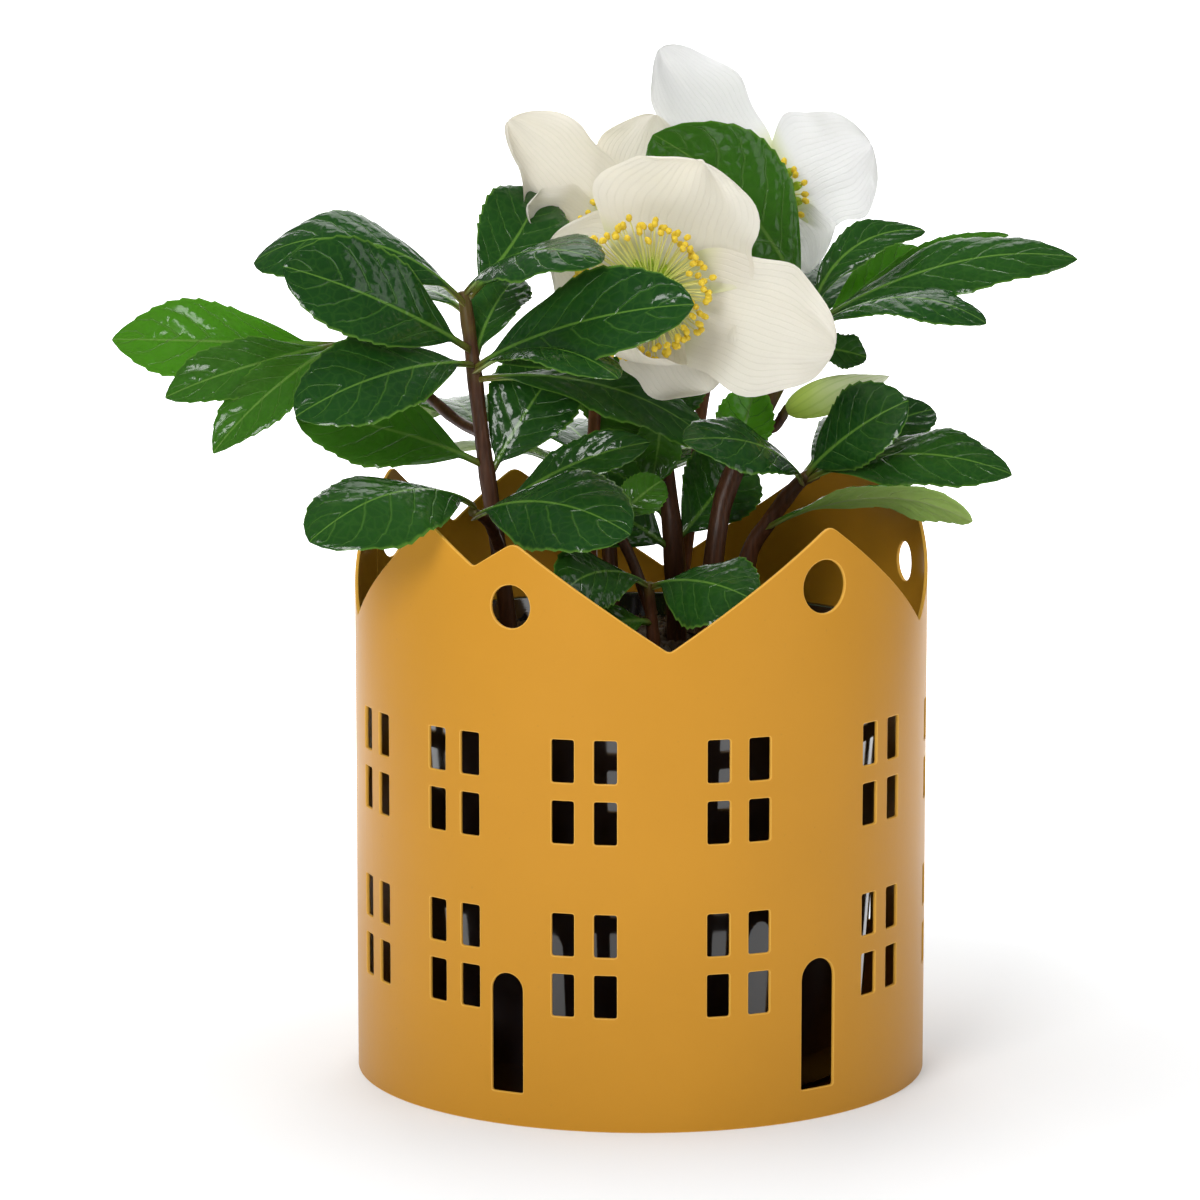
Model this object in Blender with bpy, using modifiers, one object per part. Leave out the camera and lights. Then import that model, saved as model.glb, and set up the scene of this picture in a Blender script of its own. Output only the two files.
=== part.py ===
"""A flowering hellebore in its nursery pot, standing in a round sheet-metal cover cut as a row of houses.

Run with: blender --background --python part.py
Sizes and places below are millimetres. The origin is on the cover's axis, on the surface it stands on.
+Z is up and the best side faces -Y. Headings round the cover are degrees from -Y towards +X.
"""

import math
from collections import namedtuple

import bmesh
import bpy
import numpy as np
from mathutils import Vector

MM = 0.001
GAP = 0.3

# Cover: one sheet, cut flat and rolled, welded to a base disc
COVER_RADIUS = 80.0
SHEET = 1.0
BASE_THICKNESS = 1.5
WIDEST_FACET = 7.5
ROOFLINE = (
    # heading and height of each ridge, valley and step between houses, once round
    (-78.3, 130.1),
    (-45.3, 161.5),
    (-34.0, 151.0),
    (-25.0, 158.3),
    (5.4, 129.8),
    (39.0, 161.6),
    (73.3, 129.9),
    (106.8, 160.5),
    (113.5, 155.2),
    (130.0, 172.5),
    (175.0, 130.0),
    (208.0, 161.0),
    (223.5, 146.5),
    (244.0, 165.5),
    (281.7, 130.1),
)
WINDOW_HEADINGS = (-65.6, -39.1, -10.9, 19.2, 55.0, 85.8, 128.5, 151.0, 192.0, 228.5, 265.0)
FLOOR_HEIGHTS = (45.3, 92.3)
PANE_WIDTH = 6.2
PANE_HEIGHT = 11.6
MULLION = 5.4
TRANSOM = 4.9
PLAIN_SHEET_TOP = 124.0

Door = namedtuple("Door", "heading sill width height")
DOORS = (
    Door(-26.6, 9.1, 9.4, 32.7),
    Door(36.8, 8.5, 11.0, 35.8),
    Door(107.2, 8.5, 11.0, 35.8),
    Door(208.0, 8.8, 10.0, 34.0),
)
Eye = namedtuple("Eye", "heading height radius")
EYES = (
    Eye(-25.7, 141.1, 5.8),
    Eye(37.8, 145.3, 7.2),
    Eye(108.3, 139.6, 5.6),
    Eye(244.5, 146.0, 6.6),
)

# Nursery pot and what fills it
POT_FLOOR = BASE_THICKNESS + GAP
POT_HEIGHT = 122.0
POT_FOOT_RADIUS = 62.0
POT_RIM_RADIUS = 72.0
POT_WALL = 1.2
POT_LIP = 2.4
POT_LIP_HEIGHT = 9.0
POT_SIDES = 32
DRAIN_RADIUS = 5.0
DRAIN_CIRCLE = 30.0
DRAIN_COUNT = 6
SOIL_TOP = 118.0
SOIL_CROWN = 3.0
HOLE_FLOOR = 97.0
HOLE_CLEARANCE = 0.5

# Stems and stalks
LEAFY_STEM_RADII = {"left": 2.0, "centre": 2.3, "right": 2.2, "low": 2.2, "front": 1.6, "back": 2.2}
STEM_TAPER = 0.8
STALK_RADII = (1.7, 1.4)
STALK_INTO_KNOB = 1.5

# Blades
LEAF_THICKNESS = 0.9
TEPAL_THICKNESS = 0.8
LEAF_STATIONS = 9
TEPAL_STATIONS = 6
TEPAL_COLUMNS = 4
SMALL_LEAF_STATIONS = 7
SMALL_LEAF_WIDTH = 16.0
PETIOLE_SHARE = 0.12
PETIOLE_HALF_WIDTH = 1.0
TOOTH = 0.5

PALETTE = {
    # colour, roughness, metallic
    "powder_coat": ((0.62, 0.33, 0.045), 0.42, 0.0),
    "black_plastic": ((0.012, 0.012, 0.014), 0.35, 0.0),
    "peat": ((0.045, 0.024, 0.014), 0.95, 0.0),
    "leaf": ((0.014, 0.085, 0.014), 0.3, 0.0),
    "tepal": ((0.86, 0.84, 0.72), 0.5, 0.0),
    "stamen": ((0.86, 0.66, 0.03), 0.6, 0.0),
    "nectary": ((0.34, 0.55, 0.03), 0.5, 0.0),
    "stalk": ((0.13, 0.045, 0.02), 0.5, 0.0),
}

# root and tip are places; lean turns the upper face from straight up towards the front, side
# turns it towards +X, arch lifts the midrib as a share of the length, fold raises each half.
Leaf = namedtuple("Leaf", "root tip width lean side arch fold twist", defaults=(0,))
# clock is seen from the front of the bloom, anticlockwise from its right; spread is from its axis.
Tepal = namedtuple("Tepal", "clock length width spread arch cup twist", defaults=(0,))

LEFT_STEM = ((-36, -12, 119), (-39, -12, 145), (-43, -11, 172), (-46, -9, 196), (-49, -7, 219))
LEFT_PETIOLE = ((-44, -9, 180), (-52, 0, 183), (-67, 4, 195), (-84, -6, 204))
LEFT_FRONT_PETIOLE = ((-39, -12, 148), (-42, -22, 157), (-46, -31, 161))
LEFT_LEAVES = (
    Leaf((-48, -8, 215), (-109, -16, 229), 27, 22, 0, 0.2, -14),
    Leaf((-47, -10, 203), (-96, -36, 229), 28, 62, 0, 0.08, 8),
    Leaf((-46, -10, 199), (-93, -46, 190), 28, 48, 0, 0.12, 6),
    Leaf((-43, -11, 171), (-91, -22, 181), 24, 52, 0, 0.06, 6),
    Leaf((-45, -30, 162), (-88, -72, 160), 34, 34, -4, 0.16, -16),
    Leaf((-46, -30, 159), (-3, -66, 161), 31, 48, 12, 0.12, -6),
    Leaf((-42, -11, 168), (-21, -2, 201), 26, 74, -12, 0.06, 10),
    Leaf((-48, -8, 218), (-33, 41, 239), 22, 56, -30, 0.1, 12),
    Leaf((-49, -7, 218), (-11, -46, 232), 22, 20, 0, 0.12, -10),
    Leaf((-46, -10, 198), (13, -54, 221), 28, 58, 8, 0.1, 6),
    Leaf((-46, -11, 197), (-6, -62, 203), 20, 12, 0, 0.1, -10),
    Leaf((-46, -9, 200), (-35, 10, 222), 18, 62, -20, 0.08, 8),
    Leaf((-46, -10, 195), (22, -14, 178), 20, 34, 0, 0.12, -6),
    Leaf((-40, -12, 158), (2, -24, 180), 13, 58, 0, 0.1, 8),
    Leaf((-84, -6, 204), (-146, -5, 206), 24, 56, 0, 0.08, 4),
    Leaf((-84, -6, 204), (-131, -22, 193), 20, 46, 0, 0.12, 6),
    Leaf((-83, -6, 204), (-117, -34, 178), 20, 44, -10, 0.14, 6),
    Leaf((-47, -8, 212), (-82, 42, 207), 25, -10, -16, 0.14, 4),
    Leaf((-43, -9, 175), (-62, 46, 180), 25, -16, -6, 0.14, 4),
)

CENTRE_STEM = ((10, 4, 119), (9, 5, 148), (6, 10, 174), (4, 9, 192), (4, -1, 208), (3, -9, 217))
CENTRE_LEAVES = (
    Leaf((5, 11, 172), (-17, 25, 195), 20, 62, 0, 0.06, 10),
    Leaf((5, 10, 184), (3, -8, 166), 13, 50, 10, 0.18, 8),
    Leaf((6, 9, 178), (-24, 58, 188), 24, -20, 0, 0.14, 4),
    Leaf((4, 8, 190), (-2, 62, 208), 24, -14, 0, 0.14, 4),
)

RIGHT_STEM = ((18, -5, 119), (21, -4, 150), (25, 0, 166), (36, 3, 188), (48, 7, 210))
BUD_STALK = ((33, 2, 182), (37, 4, 180), (41, 4, 186))
BUD = ((40, 4, 185), (69, 0, 195), 5.2)
RIGHT_LEAVES = (
    Leaf((48, 7, 208), (6, -5, 265), 36, 74, 14, -0.04, 4),
    Leaf((47, 7, 207), (79, 18, 234), 15, 46, 0, 0.12, 8),
    Leaf((47, 7, 207), (80, 32, 232), 18, 60, 0, 0.1, 8),
    Leaf((47, 7, 208), (104, 22, 234), 10, 58, 0, 0.08, 10),
    Leaf((46, 7, 207), (121, 0, 230), 22, 34, 0, 0.1, -8),
    Leaf((46, 6, 205), (94, -26, 214), 19, 20, 0, 0.14, -10),
    Leaf((44, 6, 202), (63, 4, 200), 11, 50, 0, 0.1, 6),
    Leaf((24, 0, 166), (32, -4, 194), 18, 82, -6, 0.06, 24),
    Leaf((44, 6, 202), (62, 60, 220), 24, -14, 10, 0.16, 4),
)

LOW_STEM = ((27, 6, 119), (30, 5, 143), (36, 3, 154), (44, 0, 165), (49, -1, 168))
LOW_LEAVES = (
    Leaf((46, 0, 166), (83, 16, 185), 17, 50, 0, 0.12, 6),
    Leaf((46, -1, 167), (72, -24, 191), 23, 58, 0, 0.06, 8),
    Leaf((46, -1, 166), (100, -32, 173), 23, 34, 0, 0.12, -8),
    Leaf((35, 2, 152), (88, -36, 164), 18, 14, 0, 0.1, -6, -70),
    Leaf((45, -2, 165), (12, -40, 183), 21, 48, -12, 0.12, -8),
    Leaf((44, 1, 165), (78, 52, 172), 25, -12, 12, 0.14, 4),
)

FRONT_STEM = ((4, -40, 119), (3, -41, 132), (2, -42, 143))
FRONT_SHOOT = ((3, -41, 134), (-3, -38, 150), (-9, -36, 160))
FRONT_LEAVES = (
    Leaf((3, -42, 142), (30, -68, 143), 26, 52, 12, 0.1, -14),
    Leaf((2, -42, 142), (-22, -64, 144), 17, 30, -10, 0.14, -12),
    Leaf((3, -41, 132), (-22, -58, 130), 14, 62, -20, 0.1, 8),
    Leaf((-7, -37, 157), (-24, -32, 164), 12, 50, -10, 0.1, 6),
    Leaf((-8, -36, 158), (6, -30, 170), 12, 50, 10, 0.1, 6),
)

BACK_STEM = ((-8, 36, 119), (-9, 38, 140), (-10, 42, 158))
BACK_LEAVES = (
    Leaf((-10, 41, 154), (-62, 66, 166), 26, -14, -14, 0.14, 4),
    Leaf((-10, 42, 157), (-34, 92, 172), 27, -18, -4, 0.14, 4),
    Leaf((-10, 41, 153), (12, 90, 164), 27, -18, 4, 0.14, 4),
    Leaf((-10, 41, 150), (44, 74, 162), 26, -14, 12, 0.14, 4),
    Leaf((-9, 39, 142), (-46, 42, 150), 22, 8, -14, 0.12, 4),
)

Bloom = namedtuple("Bloom", "name centre heading rise tepals stamens stalk")
BLOOMS = (
    Bloom(
        "bloom_front",
        (3, -16, 220),
        -16,
        6,
        (
            Tepal(74, 34, 48, 78, -0.08, 0.14),
            Tepal(-12, 53, 44, 76, -0.06, 0.1),
            Tepal(-56, 35, 36, 86, -0.06, 0.14),
            Tepal(-112, 27, 30, 73, -0.08, 0.16),
            Tepal(156, 30, 30, 90, -0.06, 0.14),
        ),
        30,
        None,
    ),
    Bloom(
        "bloom_left",
        (-7, 12, 232),
        -14,
        14,
        (
            Tepal(134, 42, 26, 69, -0.08, 0.2),
            Tepal(164, 25, 18, 74, -0.08, 0.2),
            Tepal(74, 34, 26, 86, -0.06, 0.16),
            Tepal(10, 24, 22, 78, -0.08, 0.14),
            Tepal(-70, 22, 24, 86, -0.08, 0.14),
        ),
        9,
        ((-14, 8, 119), (-14, 4, 160), (-12, 12, 196), (-8, 22, 219)),
    ),
    Bloom(
        "bloom_back",
        (31, 32, 242),
        6,
        10,
        (
            Tepal(126, 47, 29, 78, -0.08, 0.12),
            Tepal(14, 34, 34, 84, -0.08, 0.16),
            Tepal(168, 44, 26, 86, -0.06, 0.12),
            Tepal(-50, 28, 28, 76, -0.08, 0.16),
            Tepal(-118, 28, 28, 86, -0.06, 0.16),
        ),
        9,
        ((10, 26, 119), (15, 25, 160), (18, 29, 188), (27, 42, 224)),
    ),
)

# Heart of a bloom, from the stalk's end forwards along its axis
KNOB_RADIUS = 3.6
KNOB_LENGTH = 5.0
CUP_RADIUS = 5.2
CUP_THICKNESS = 1.2
CLAW_START = 2.4
DISC_RADIUS = 5.0
DISC_THICKNESS = 1.0
HEART_LIFT = 0.7
NECTARY_COUNT = 6
NECTARY_CIRCLE = 4.4
NECTARY_LENGTH = 5.0
CARPEL_COUNT = 3
CARPEL_LENGTH = 9.0
RING_INNER = 1.8
RING_OUTER = 3.1
RING_THICKNESS = 1.0
STAMEN_ROUNDS = ((64.0, 20.0), (52.0, 18.0), (40.0, 16.0))  # opening from the axis, length
SMALL_STAMEN_SHARE = 0.85
FILAMENT_RADIUS = 0.4
ANTHER_RADII = (1.1, 0.9)
TEPAL_RUFFLE = 1.2


def clear_scene():
    for obj in list(bpy.data.objects):
        bpy.data.objects.remove(obj, do_unlink=True)


def make_collection(name):
    collection = bpy.data.collections.new(name)
    bpy.context.scene.collection.children.link(collection)
    return collection


def make_material(name):
    colour, roughness, metallic = PALETTE[name]
    material = bpy.data.materials.new(name)
    material.use_nodes = True
    shader = material.node_tree.nodes["Principled BSDF"]
    shader.inputs["Base Color"].default_value = (*colour, 1.0)
    shader.inputs["Roughness"].default_value = roughness
    shader.inputs["Metallic"].default_value = metallic
    return material


def heading_vector(degrees):
    angle = math.radians(degrees)
    return Vector((math.sin(angle), -math.cos(angle), 0.0))


def on_cover(degrees, height, radius=COVER_RADIUS):
    return heading_vector(degrees) * radius + Vector((0.0, 0.0, height))


def object_from_bmesh(bm, name, collection, material=None):
    """Turns a bmesh in millimetres into an object in metres."""
    bmesh.ops.scale(bm, vec=(MM, MM, MM), verts=bm.verts)
    mesh = bpy.data.meshes.new(name)
    bm.to_mesh(mesh)
    bm.free()
    obj = bpy.data.objects.new(name, mesh)
    collection.objects.link(obj)
    if material:
        mesh.materials.append(material)
    return obj


def object_from_points(points, faces, name, collection, material=None):
    mesh = bpy.data.meshes.new(name)
    mesh.from_pydata((np.asarray(points) * MM).tolist(), [], faces)
    mesh.update()
    obj = bpy.data.objects.new(name, mesh)
    collection.objects.link(obj)
    if material:
        mesh.materials.append(material)
    return obj


def apply_modifiers(obj):
    graph = bpy.context.evaluated_depsgraph_get()
    applied = bpy.data.meshes.new_from_object(obj.evaluated_get(graph))
    obj.modifiers.clear()
    obj.data = applied


def make_cutter(obj):
    obj.hide_render = True
    obj.display_type = "WIRE"
    return obj


def shade(obj, smooth_angle=35.0):
    obj.data.shade_smooth()
    obj.data.set_sharp_from_angle(angle=math.radians(smooth_angle))


def fuse(name, pieces, material):
    """One Boolean union of all pieces; their collection and the loose pieces are removed."""
    loose = bpy.data.collections.new(name + "_pieces")
    bpy.context.scene.collection.children.link(loose)
    core, *others = pieces
    for piece in others:
        for owner in list(piece.users_collection):
            owner.objects.unlink(piece)
        loose.objects.link(piece)
    union = core.modifiers.new("union", "BOOLEAN")
    union.operation = "UNION"
    union.solver = "MANIFOLD"
    union.operand_type = "COLLECTION"
    union.collection = loose
    bpy.context.view_layer.update()
    apply_modifiers(core)
    for piece in others:
        bpy.data.objects.remove(piece, do_unlink=True)
    bpy.data.collections.remove(loose)
    core.name = name
    core.data.name = name
    core.data.materials.clear()
    core.data.materials.append(material)
    shade(core)
    return core


def smooth_path(points, per_span):
    """A Catmull-Rom curve through the points, as rows of x, y and z."""
    knots = np.array(points, float)
    ends = np.vstack([2 * knots[0] - knots[1], knots, 2 * knots[-1] - knots[-2]])
    t = np.linspace(0.0, 1.0, per_span, endpoint=False)[:, None]
    rows = []
    for before, start, end, after in zip(ends, ends[1:], ends[2:], ends[3:]):
        rows.append(
            0.5 * (2 * start + (end - before) * t + (2 * before - 5 * start + 4 * end - after) * t**2
                   + (3 * start - before - 3 * end + after) * t**3)
        )
    rows.append(knots[-1:])
    return np.vstack(rows)


def tube(name, path, radii, collection, resolution=1):
    """A round rod along the path, made as a bevelled curve and then welded into a closed mesh."""
    curve = bpy.data.curves.new(name, "CURVE")
    curve.dimensions = "3D"
    curve.bevel_depth = MM
    curve.bevel_resolution = resolution
    curve.use_fill_caps = True
    spline = curve.splines.new("POLY")
    spline.points.add(len(path) - 1)
    for point, place, radius in zip(spline.points, path, radii):
        point.co = (*(np.array(place) * MM), 1.0)
        point.radius = radius
    guide = bpy.data.objects.new(name, curve)
    collection.objects.link(guide)
    bpy.context.view_layer.update()
    graph = bpy.context.evaluated_depsgraph_get()
    mesh = bpy.data.meshes.new_from_object(guide.evaluated_get(graph))
    bm = bmesh.new()
    bm.from_mesh(mesh)
    bmesh.ops.remove_doubles(bm, verts=bm.verts, dist=1e-6)
    bmesh.ops.recalc_face_normals(bm, faces=bm.faces)
    bm.to_mesh(mesh)
    bm.free()
    obj = bpy.data.objects.new(name, mesh)
    obj.matrix_world = guide.matrix_world
    collection.objects.link(obj)
    bpy.data.objects.remove(guide, do_unlink=True)
    return obj


def blade(name, root, tip, upper, half_width, lifts, collection, stations, columns, thickness, arch, twist=0.0):
    """A thin closed blade on a grid of stations along it and columns across it.

    half_width(u) gives half the width and lifts(u, v, half) how far a point stands above the
    midrib, for u from root to tip and v from edge to edge. Both faces are split alike.
    """
    root, tip = Vector(root), Vector(tip)
    chord = tip - root
    length = chord.length
    along = chord.normalized()
    normal = (Vector(upper) - along * Vector(upper).dot(along)).normalized()
    across = along.cross(normal)
    steps = np.linspace(0.0, 1.0, stations)
    steps = 0.5 * steps + 0.25 * (1.0 - np.cos(math.pi * steps))
    sides = np.linspace(-1.0, 1.0, columns)
    upper_side, lower_side = [], []
    for index, u in enumerate(steps):
        middle = root + along * (length * u) + normal * (arch * length * 4.0 * u * (1.0 - u))
        tangent = (along + normal * (arch * 4.0 * (1.0 - 2.0 * u))).normalized()
        turn = math.radians(twist) * u
        lift_axis = across.cross(tangent).normalized()
        width_axis = across * math.cos(turn) + lift_axis * math.sin(turn)
        lift_axis = width_axis.cross(tangent).normalized()
        half = half_width(u, index)
        for v in sides:
            point = middle + width_axis * (half * v) + lift_axis * lifts(u, v, half)
            upper_side.append(point + lift_axis * (thickness / 2))
            lower_side.append(point - lift_axis * (thickness / 2))
    shift = stations * columns
    faces = []
    for i in range(stations - 1):
        for j in range(columns - 1):
            a, b = i * columns + j, i * columns + j + 1
            c, d = a + columns, b + columns
            halves = ((a, b, d), (a, d, c)) if j < (columns - 1) / 2 else ((a, b, c), (b, d, c))
            for one, two, three in halves:
                faces.append((one, two, three))
                faces.append((shift + one, shift + three, shift + two))
    last = (stations - 1) * columns
    rim = list(range(columns))
    rim += [i * columns + columns - 1 for i in range(1, stations)]
    rim += [last + j for j in range(columns - 2, -1, -1)]
    rim += [i * columns for i in range(stations - 2, 0, -1)]
    for one, two in zip(rim, rim[1:] + rim[:1]):
        faces.append((one, shift + one, shift + two))
        faces.append((one, shift + two, two))
    return object_from_points([tuple(p) for p in upper_side + lower_side], faces, name, collection)


def leaf_blade(name, leaf, collection):
    """A leathery leaflet: slim stalk, widest past the middle, toothed near the tip, creased on its rib."""
    lean, side = math.radians(leaf.lean), math.radians(leaf.side)
    upper = (math.sin(side), -math.sin(lean), math.cos(lean) * math.cos(side))
    crease = math.tan(math.radians(leaf.fold))

    def half_width(u, index):
        if u <= PETIOLE_SHARE:
            return PETIOLE_HALF_WIDTH
        swell = (u - PETIOLE_SHARE) / (1.0 - PETIOLE_SHARE)
        half = leaf.width / 2 * max(math.sin(math.pi * swell**1.35), 0.0) ** 0.6
        tooth = TOOTH * (1 if index % 2 else -1) if 0.4 < u < 0.98 else 0.0
        return max(half + tooth, 0.8)

    def lifts(u, v, half):
        return crease * half * abs(v)

    stations = LEAF_STATIONS if leaf.width >= SMALL_LEAF_WIDTH else SMALL_LEAF_STATIONS
    return blade(
        name, leaf.root, leaf.tip, upper, half_width, lifts, collection,
        stations, 3, LEAF_THICKNESS, leaf.arch, leaf.twist,
    )


def stem_path(points):
    """The smooth stem, with a straight foot that stands in its hole in the soil."""
    foot = (points[0][0], points[0][1], HOLE_FLOOR + 1.0)
    return np.vstack([[foot], smooth_path(points, 2)])


def leafy_stem(name, points, radius, leaves, collection, material, extras=()):
    path = stem_path(points)
    radii = np.linspace(radius, radius * STEM_TAPER, len(path))
    pieces = [tube(name, path, radii, collection), *extras]
    pieces += [leaf_blade(f"{name}_leaf", leaf, collection) for leaf in leaves]
    return fuse(name, pieces, material)


def twig(points, radius, collection):
    path = smooth_path(points, 2)
    return tube("twig", path, np.linspace(radius, radius * STEM_TAPER, len(path)), collection)


def bud(root, tip, radius, collection):
    """A closed bud: a spindle fattest a third of the way up, drawn out to a blunt tip."""
    steps = np.linspace(0.0, 1.0, 7)
    path = [Vector(root).lerp(Vector(tip), u) for u in steps]
    radii = [max(radius * math.sin(math.pi * u**0.7) ** 0.8, 1.0) for u in steps]
    return tube("bud", path, radii, collection, 2)


def bloom_frame(bloom):
    """The bloom's axis, its right and its up, as seen from the front of it."""
    rise = math.radians(bloom.rise)
    axis = heading_vector(bloom.heading) * math.cos(rise) + Vector((0.0, 0.0, math.sin(rise)))
    up = (Vector((0.0, 0.0, 1.0)) - axis * axis.z).normalized()
    return axis, up.cross(axis), up


def disc(name, centre, axis, radius, thickness, collection, sides=12, inner=0.0):
    """A flat disc or ring whose back is at the centre and which is thickness deep along the axis."""
    bm = bmesh.new()
    turn = axis.to_track_quat("Z", "Y").to_matrix().to_4x4()
    turn.translation = centre + axis * (thickness / 2)
    bmesh.ops.create_cone(
        bm, cap_ends=True, segments=sides, radius1=radius, radius2=radius, depth=thickness, matrix=turn
    )
    obj = object_from_bmesh(bm, name, collection)
    if inner:
        bore = disc(name + "_bore", centre - axis, axis, inner, thickness + 2.0, collection, sides)
        cut = obj.modifiers.new("bore", "BOOLEAN")
        cut.operation = "DIFFERENCE"
        cut.object = bore
        bpy.context.view_layer.update()
        apply_modifiers(obj)
        bpy.data.objects.remove(bore, do_unlink=True)
    return obj


def spike(name, path, radii, collection, sides=4):
    """A slim rod with a few flat sides that follows the path with a radius for each point."""
    points = []
    path = [Vector(p) for p in path]
    heading = (path[-1] - path[0]).normalized()
    first = heading.orthogonal().normalized()
    second = heading.cross(first)
    for place, radius in zip(path, radii):
        for k in range(sides):
            angle = 2.0 * math.pi * k / sides
            points.append(tuple(place + (first * math.cos(angle) + second * math.sin(angle)) * radius))
    faces = []
    for ring in range(len(path) - 1):
        for k in range(sides):
            a, b = ring * sides + k, ring * sides + (k + 1) % sides
            faces.append((a, b, b + sides, a + sides))
    faces.append(tuple(range(sides - 1, -1, -1)))
    faces.append(tuple(range((len(path) - 1) * sides, len(path) * sides)))
    return object_from_points(points, faces, name, collection)


def make_tepals(bloom, collection, material):
    axis, right, up = bloom_frame(bloom)
    centre = Vector(bloom.centre)
    pieces = [disc(bloom.name, centre, axis, CUP_RADIUS, CUP_THICKNESS, collection)]
    for number, tepal in enumerate(bloom.tepals):
        clock, spread = math.radians(tepal.clock), math.radians(tepal.spread)
        outward = right * math.cos(clock) + up * math.sin(clock)
        reach = axis * math.cos(spread) + outward * math.sin(spread)
        inner_face = axis * math.sin(spread) - outward * math.cos(spread)
        root = centre + outward * CLAW_START + axis * (CUP_THICKNESS / 2)

        def half_width(u, index, tepal=tepal):
            body = math.sin(math.pi * min(u**0.85, 1.0)) ** 0.6
            return max(tepal.width / 2 * body, 2.2 if u < 0.5 else 1.5)

        def lifts(u, v, half, tepal=tepal, number=number):
            ruffle = TEPAL_RUFFLE * math.sin(2.0 * math.pi * (1.6 * u + 0.3 * v) + number)
            return half * tepal.cup * v * v + ruffle * u * v * v

        pieces.append(
            blade(
                bloom.name + "_tepal", root, root + reach * tepal.length, inner_face, half_width, lifts,
                collection, TEPAL_STATIONS, TEPAL_COLUMNS, TEPAL_THICKNESS, tepal.arch, tepal.twist,
            )
        )
    return fuse(bloom.name + "_tepals", pieces, material)


def make_heart(bloom, collection, material):
    """The green middle: a disc that carries the little nectar horns and, in the centre, the carpels."""
    axis, right, up = bloom_frame(bloom)
    back = Vector(bloom.centre) + axis * (CUP_THICKNESS + HEART_LIFT)
    pieces = [disc(bloom.name, back, axis, DISC_RADIUS, DISC_THICKNESS, collection)]
    front = back + axis * (DISC_THICKNESS / 2)
    for k in range(NECTARY_COUNT):
        angle = 2.0 * math.pi * (k + 0.5) / NECTARY_COUNT
        outward = right * math.cos(angle) + up * math.sin(angle)
        root = front + outward * NECTARY_CIRCLE
        end = root + (outward * 0.95 + axis * 0.35) * NECTARY_LENGTH
        pieces.append(spike("nectary", (root, end), (0.6, 1.1), collection))
    for k in range(CARPEL_COUNT):
        angle = 2.0 * math.pi * k / CARPEL_COUNT
        outward = right * math.cos(angle) + up * math.sin(angle)
        root = front + outward * 0.45
        path = (root, root + axis * (CARPEL_LENGTH * 0.6), root + axis * CARPEL_LENGTH + outward * 1.6)
        pieces.append(spike("carpel", path, (1.0, 0.9, 0.35), collection))
    return fuse(bloom.name + "_heart", pieces, material)


def make_stamens(bloom, collection, material):
    """Stamens in three rounds on one thin ring, each a filament that ends in a fat anther."""
    axis, right, up = bloom_frame(bloom)
    back = Vector(bloom.centre) + axis * (CUP_THICKNESS + HEART_LIFT + DISC_THICKNESS + GAP)
    pieces = [
        disc(bloom.name, back, axis, RING_OUTER, RING_THICKNESS, collection, inner=RING_INNER)
    ]
    for k in range(bloom.stamens):
        angle = 2.0 * math.pi * k / bloom.stamens
        opening, length = STAMEN_ROUNDS[k % len(STAMEN_ROUNDS)]
        opening = math.radians(opening)
        length *= SMALL_STAMEN_SHARE if bloom.stalk else 1.0
        outward = right * math.cos(angle) + up * math.sin(angle)
        root = back + outward * ((RING_INNER + RING_OUTER) / 2) + axis * (RING_THICKNESS / 2)
        reach = axis * math.cos(opening) + outward * math.sin(opening)
        path = [root + reach * (length * u) for u in (0.0, 0.85, 0.9, 1.0)]
        pieces.append(spike("stamen", path, (FILAMENT_RADIUS, FILAMENT_RADIUS, *ANTHER_RADII), collection, 3))
    return fuse(bloom.name + "_stamens", pieces, material)


def knob(bloom, collection):
    """The swollen end of the stalk, flat where the bloom sits."""
    axis, _, _ = bloom_frame(bloom)
    back = Vector(bloom.centre) - axis * (GAP + KNOB_LENGTH)
    bm = bmesh.new()
    turn = axis.to_track_quat("Z", "Y").to_matrix().to_4x4()
    turn.translation = back + axis * (KNOB_LENGTH / 2)
    bmesh.ops.create_cone(
        bm, cap_ends=True, segments=12, radius1=KNOB_RADIUS * 0.55, radius2=KNOB_RADIUS,
        depth=KNOB_LENGTH, matrix=turn,
    )
    return object_from_bmesh(bm, bloom.name + "_knob", collection), back


def make_stalk(bloom, collection, material):
    top, back = knob(bloom, collection)
    axis, _, _ = bloom_frame(bloom)
    path = np.vstack([stem_path(bloom.stalk), [tuple(back + axis * STALK_INTO_KNOB)]])
    rod = tube(bloom.name, path, np.linspace(*STALK_RADII, len(path)), collection)
    return fuse(bloom.name + "_stalk", [rod, top], material)


def facet_headings():
    """Headings of the sheet's bend lines: every corner of the cut-outs, then even steps between."""
    half_pane = math.degrees((MULLION / 2 + PANE_WIDTH) / COVER_RADIUS)
    half_bar = math.degrees(MULLION / 2 / COVER_RADIUS)
    marks = {heading % 360.0 for heading, _ in ROOFLINE}
    for heading in WINDOW_HEADINGS:
        marks |= {(heading + offset) % 360.0 for offset in (-half_pane, -half_bar, half_bar, half_pane)}
    marks = sorted(marks)
    headings = []
    for start, end in zip(marks, marks[1:] + [marks[0] + 360.0]):
        steps = max(math.ceil((end - start) / WIDEST_FACET), 1)
        headings += [start + (end - start) * k / steps for k in range(steps)]
    return headings


def roof_height(heading):
    corners = [(h % 360.0, z) for h, z in ROOFLINE]
    corners.sort()
    angles = [corners[-1][0] - 360.0] + [h for h, _ in corners] + [corners[0][0] + 360.0]
    heights = [corners[-1][1]] + [z for _, z in corners] + [corners[0][1]]
    return float(np.interp(heading % 360.0, angles, heights))


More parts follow.
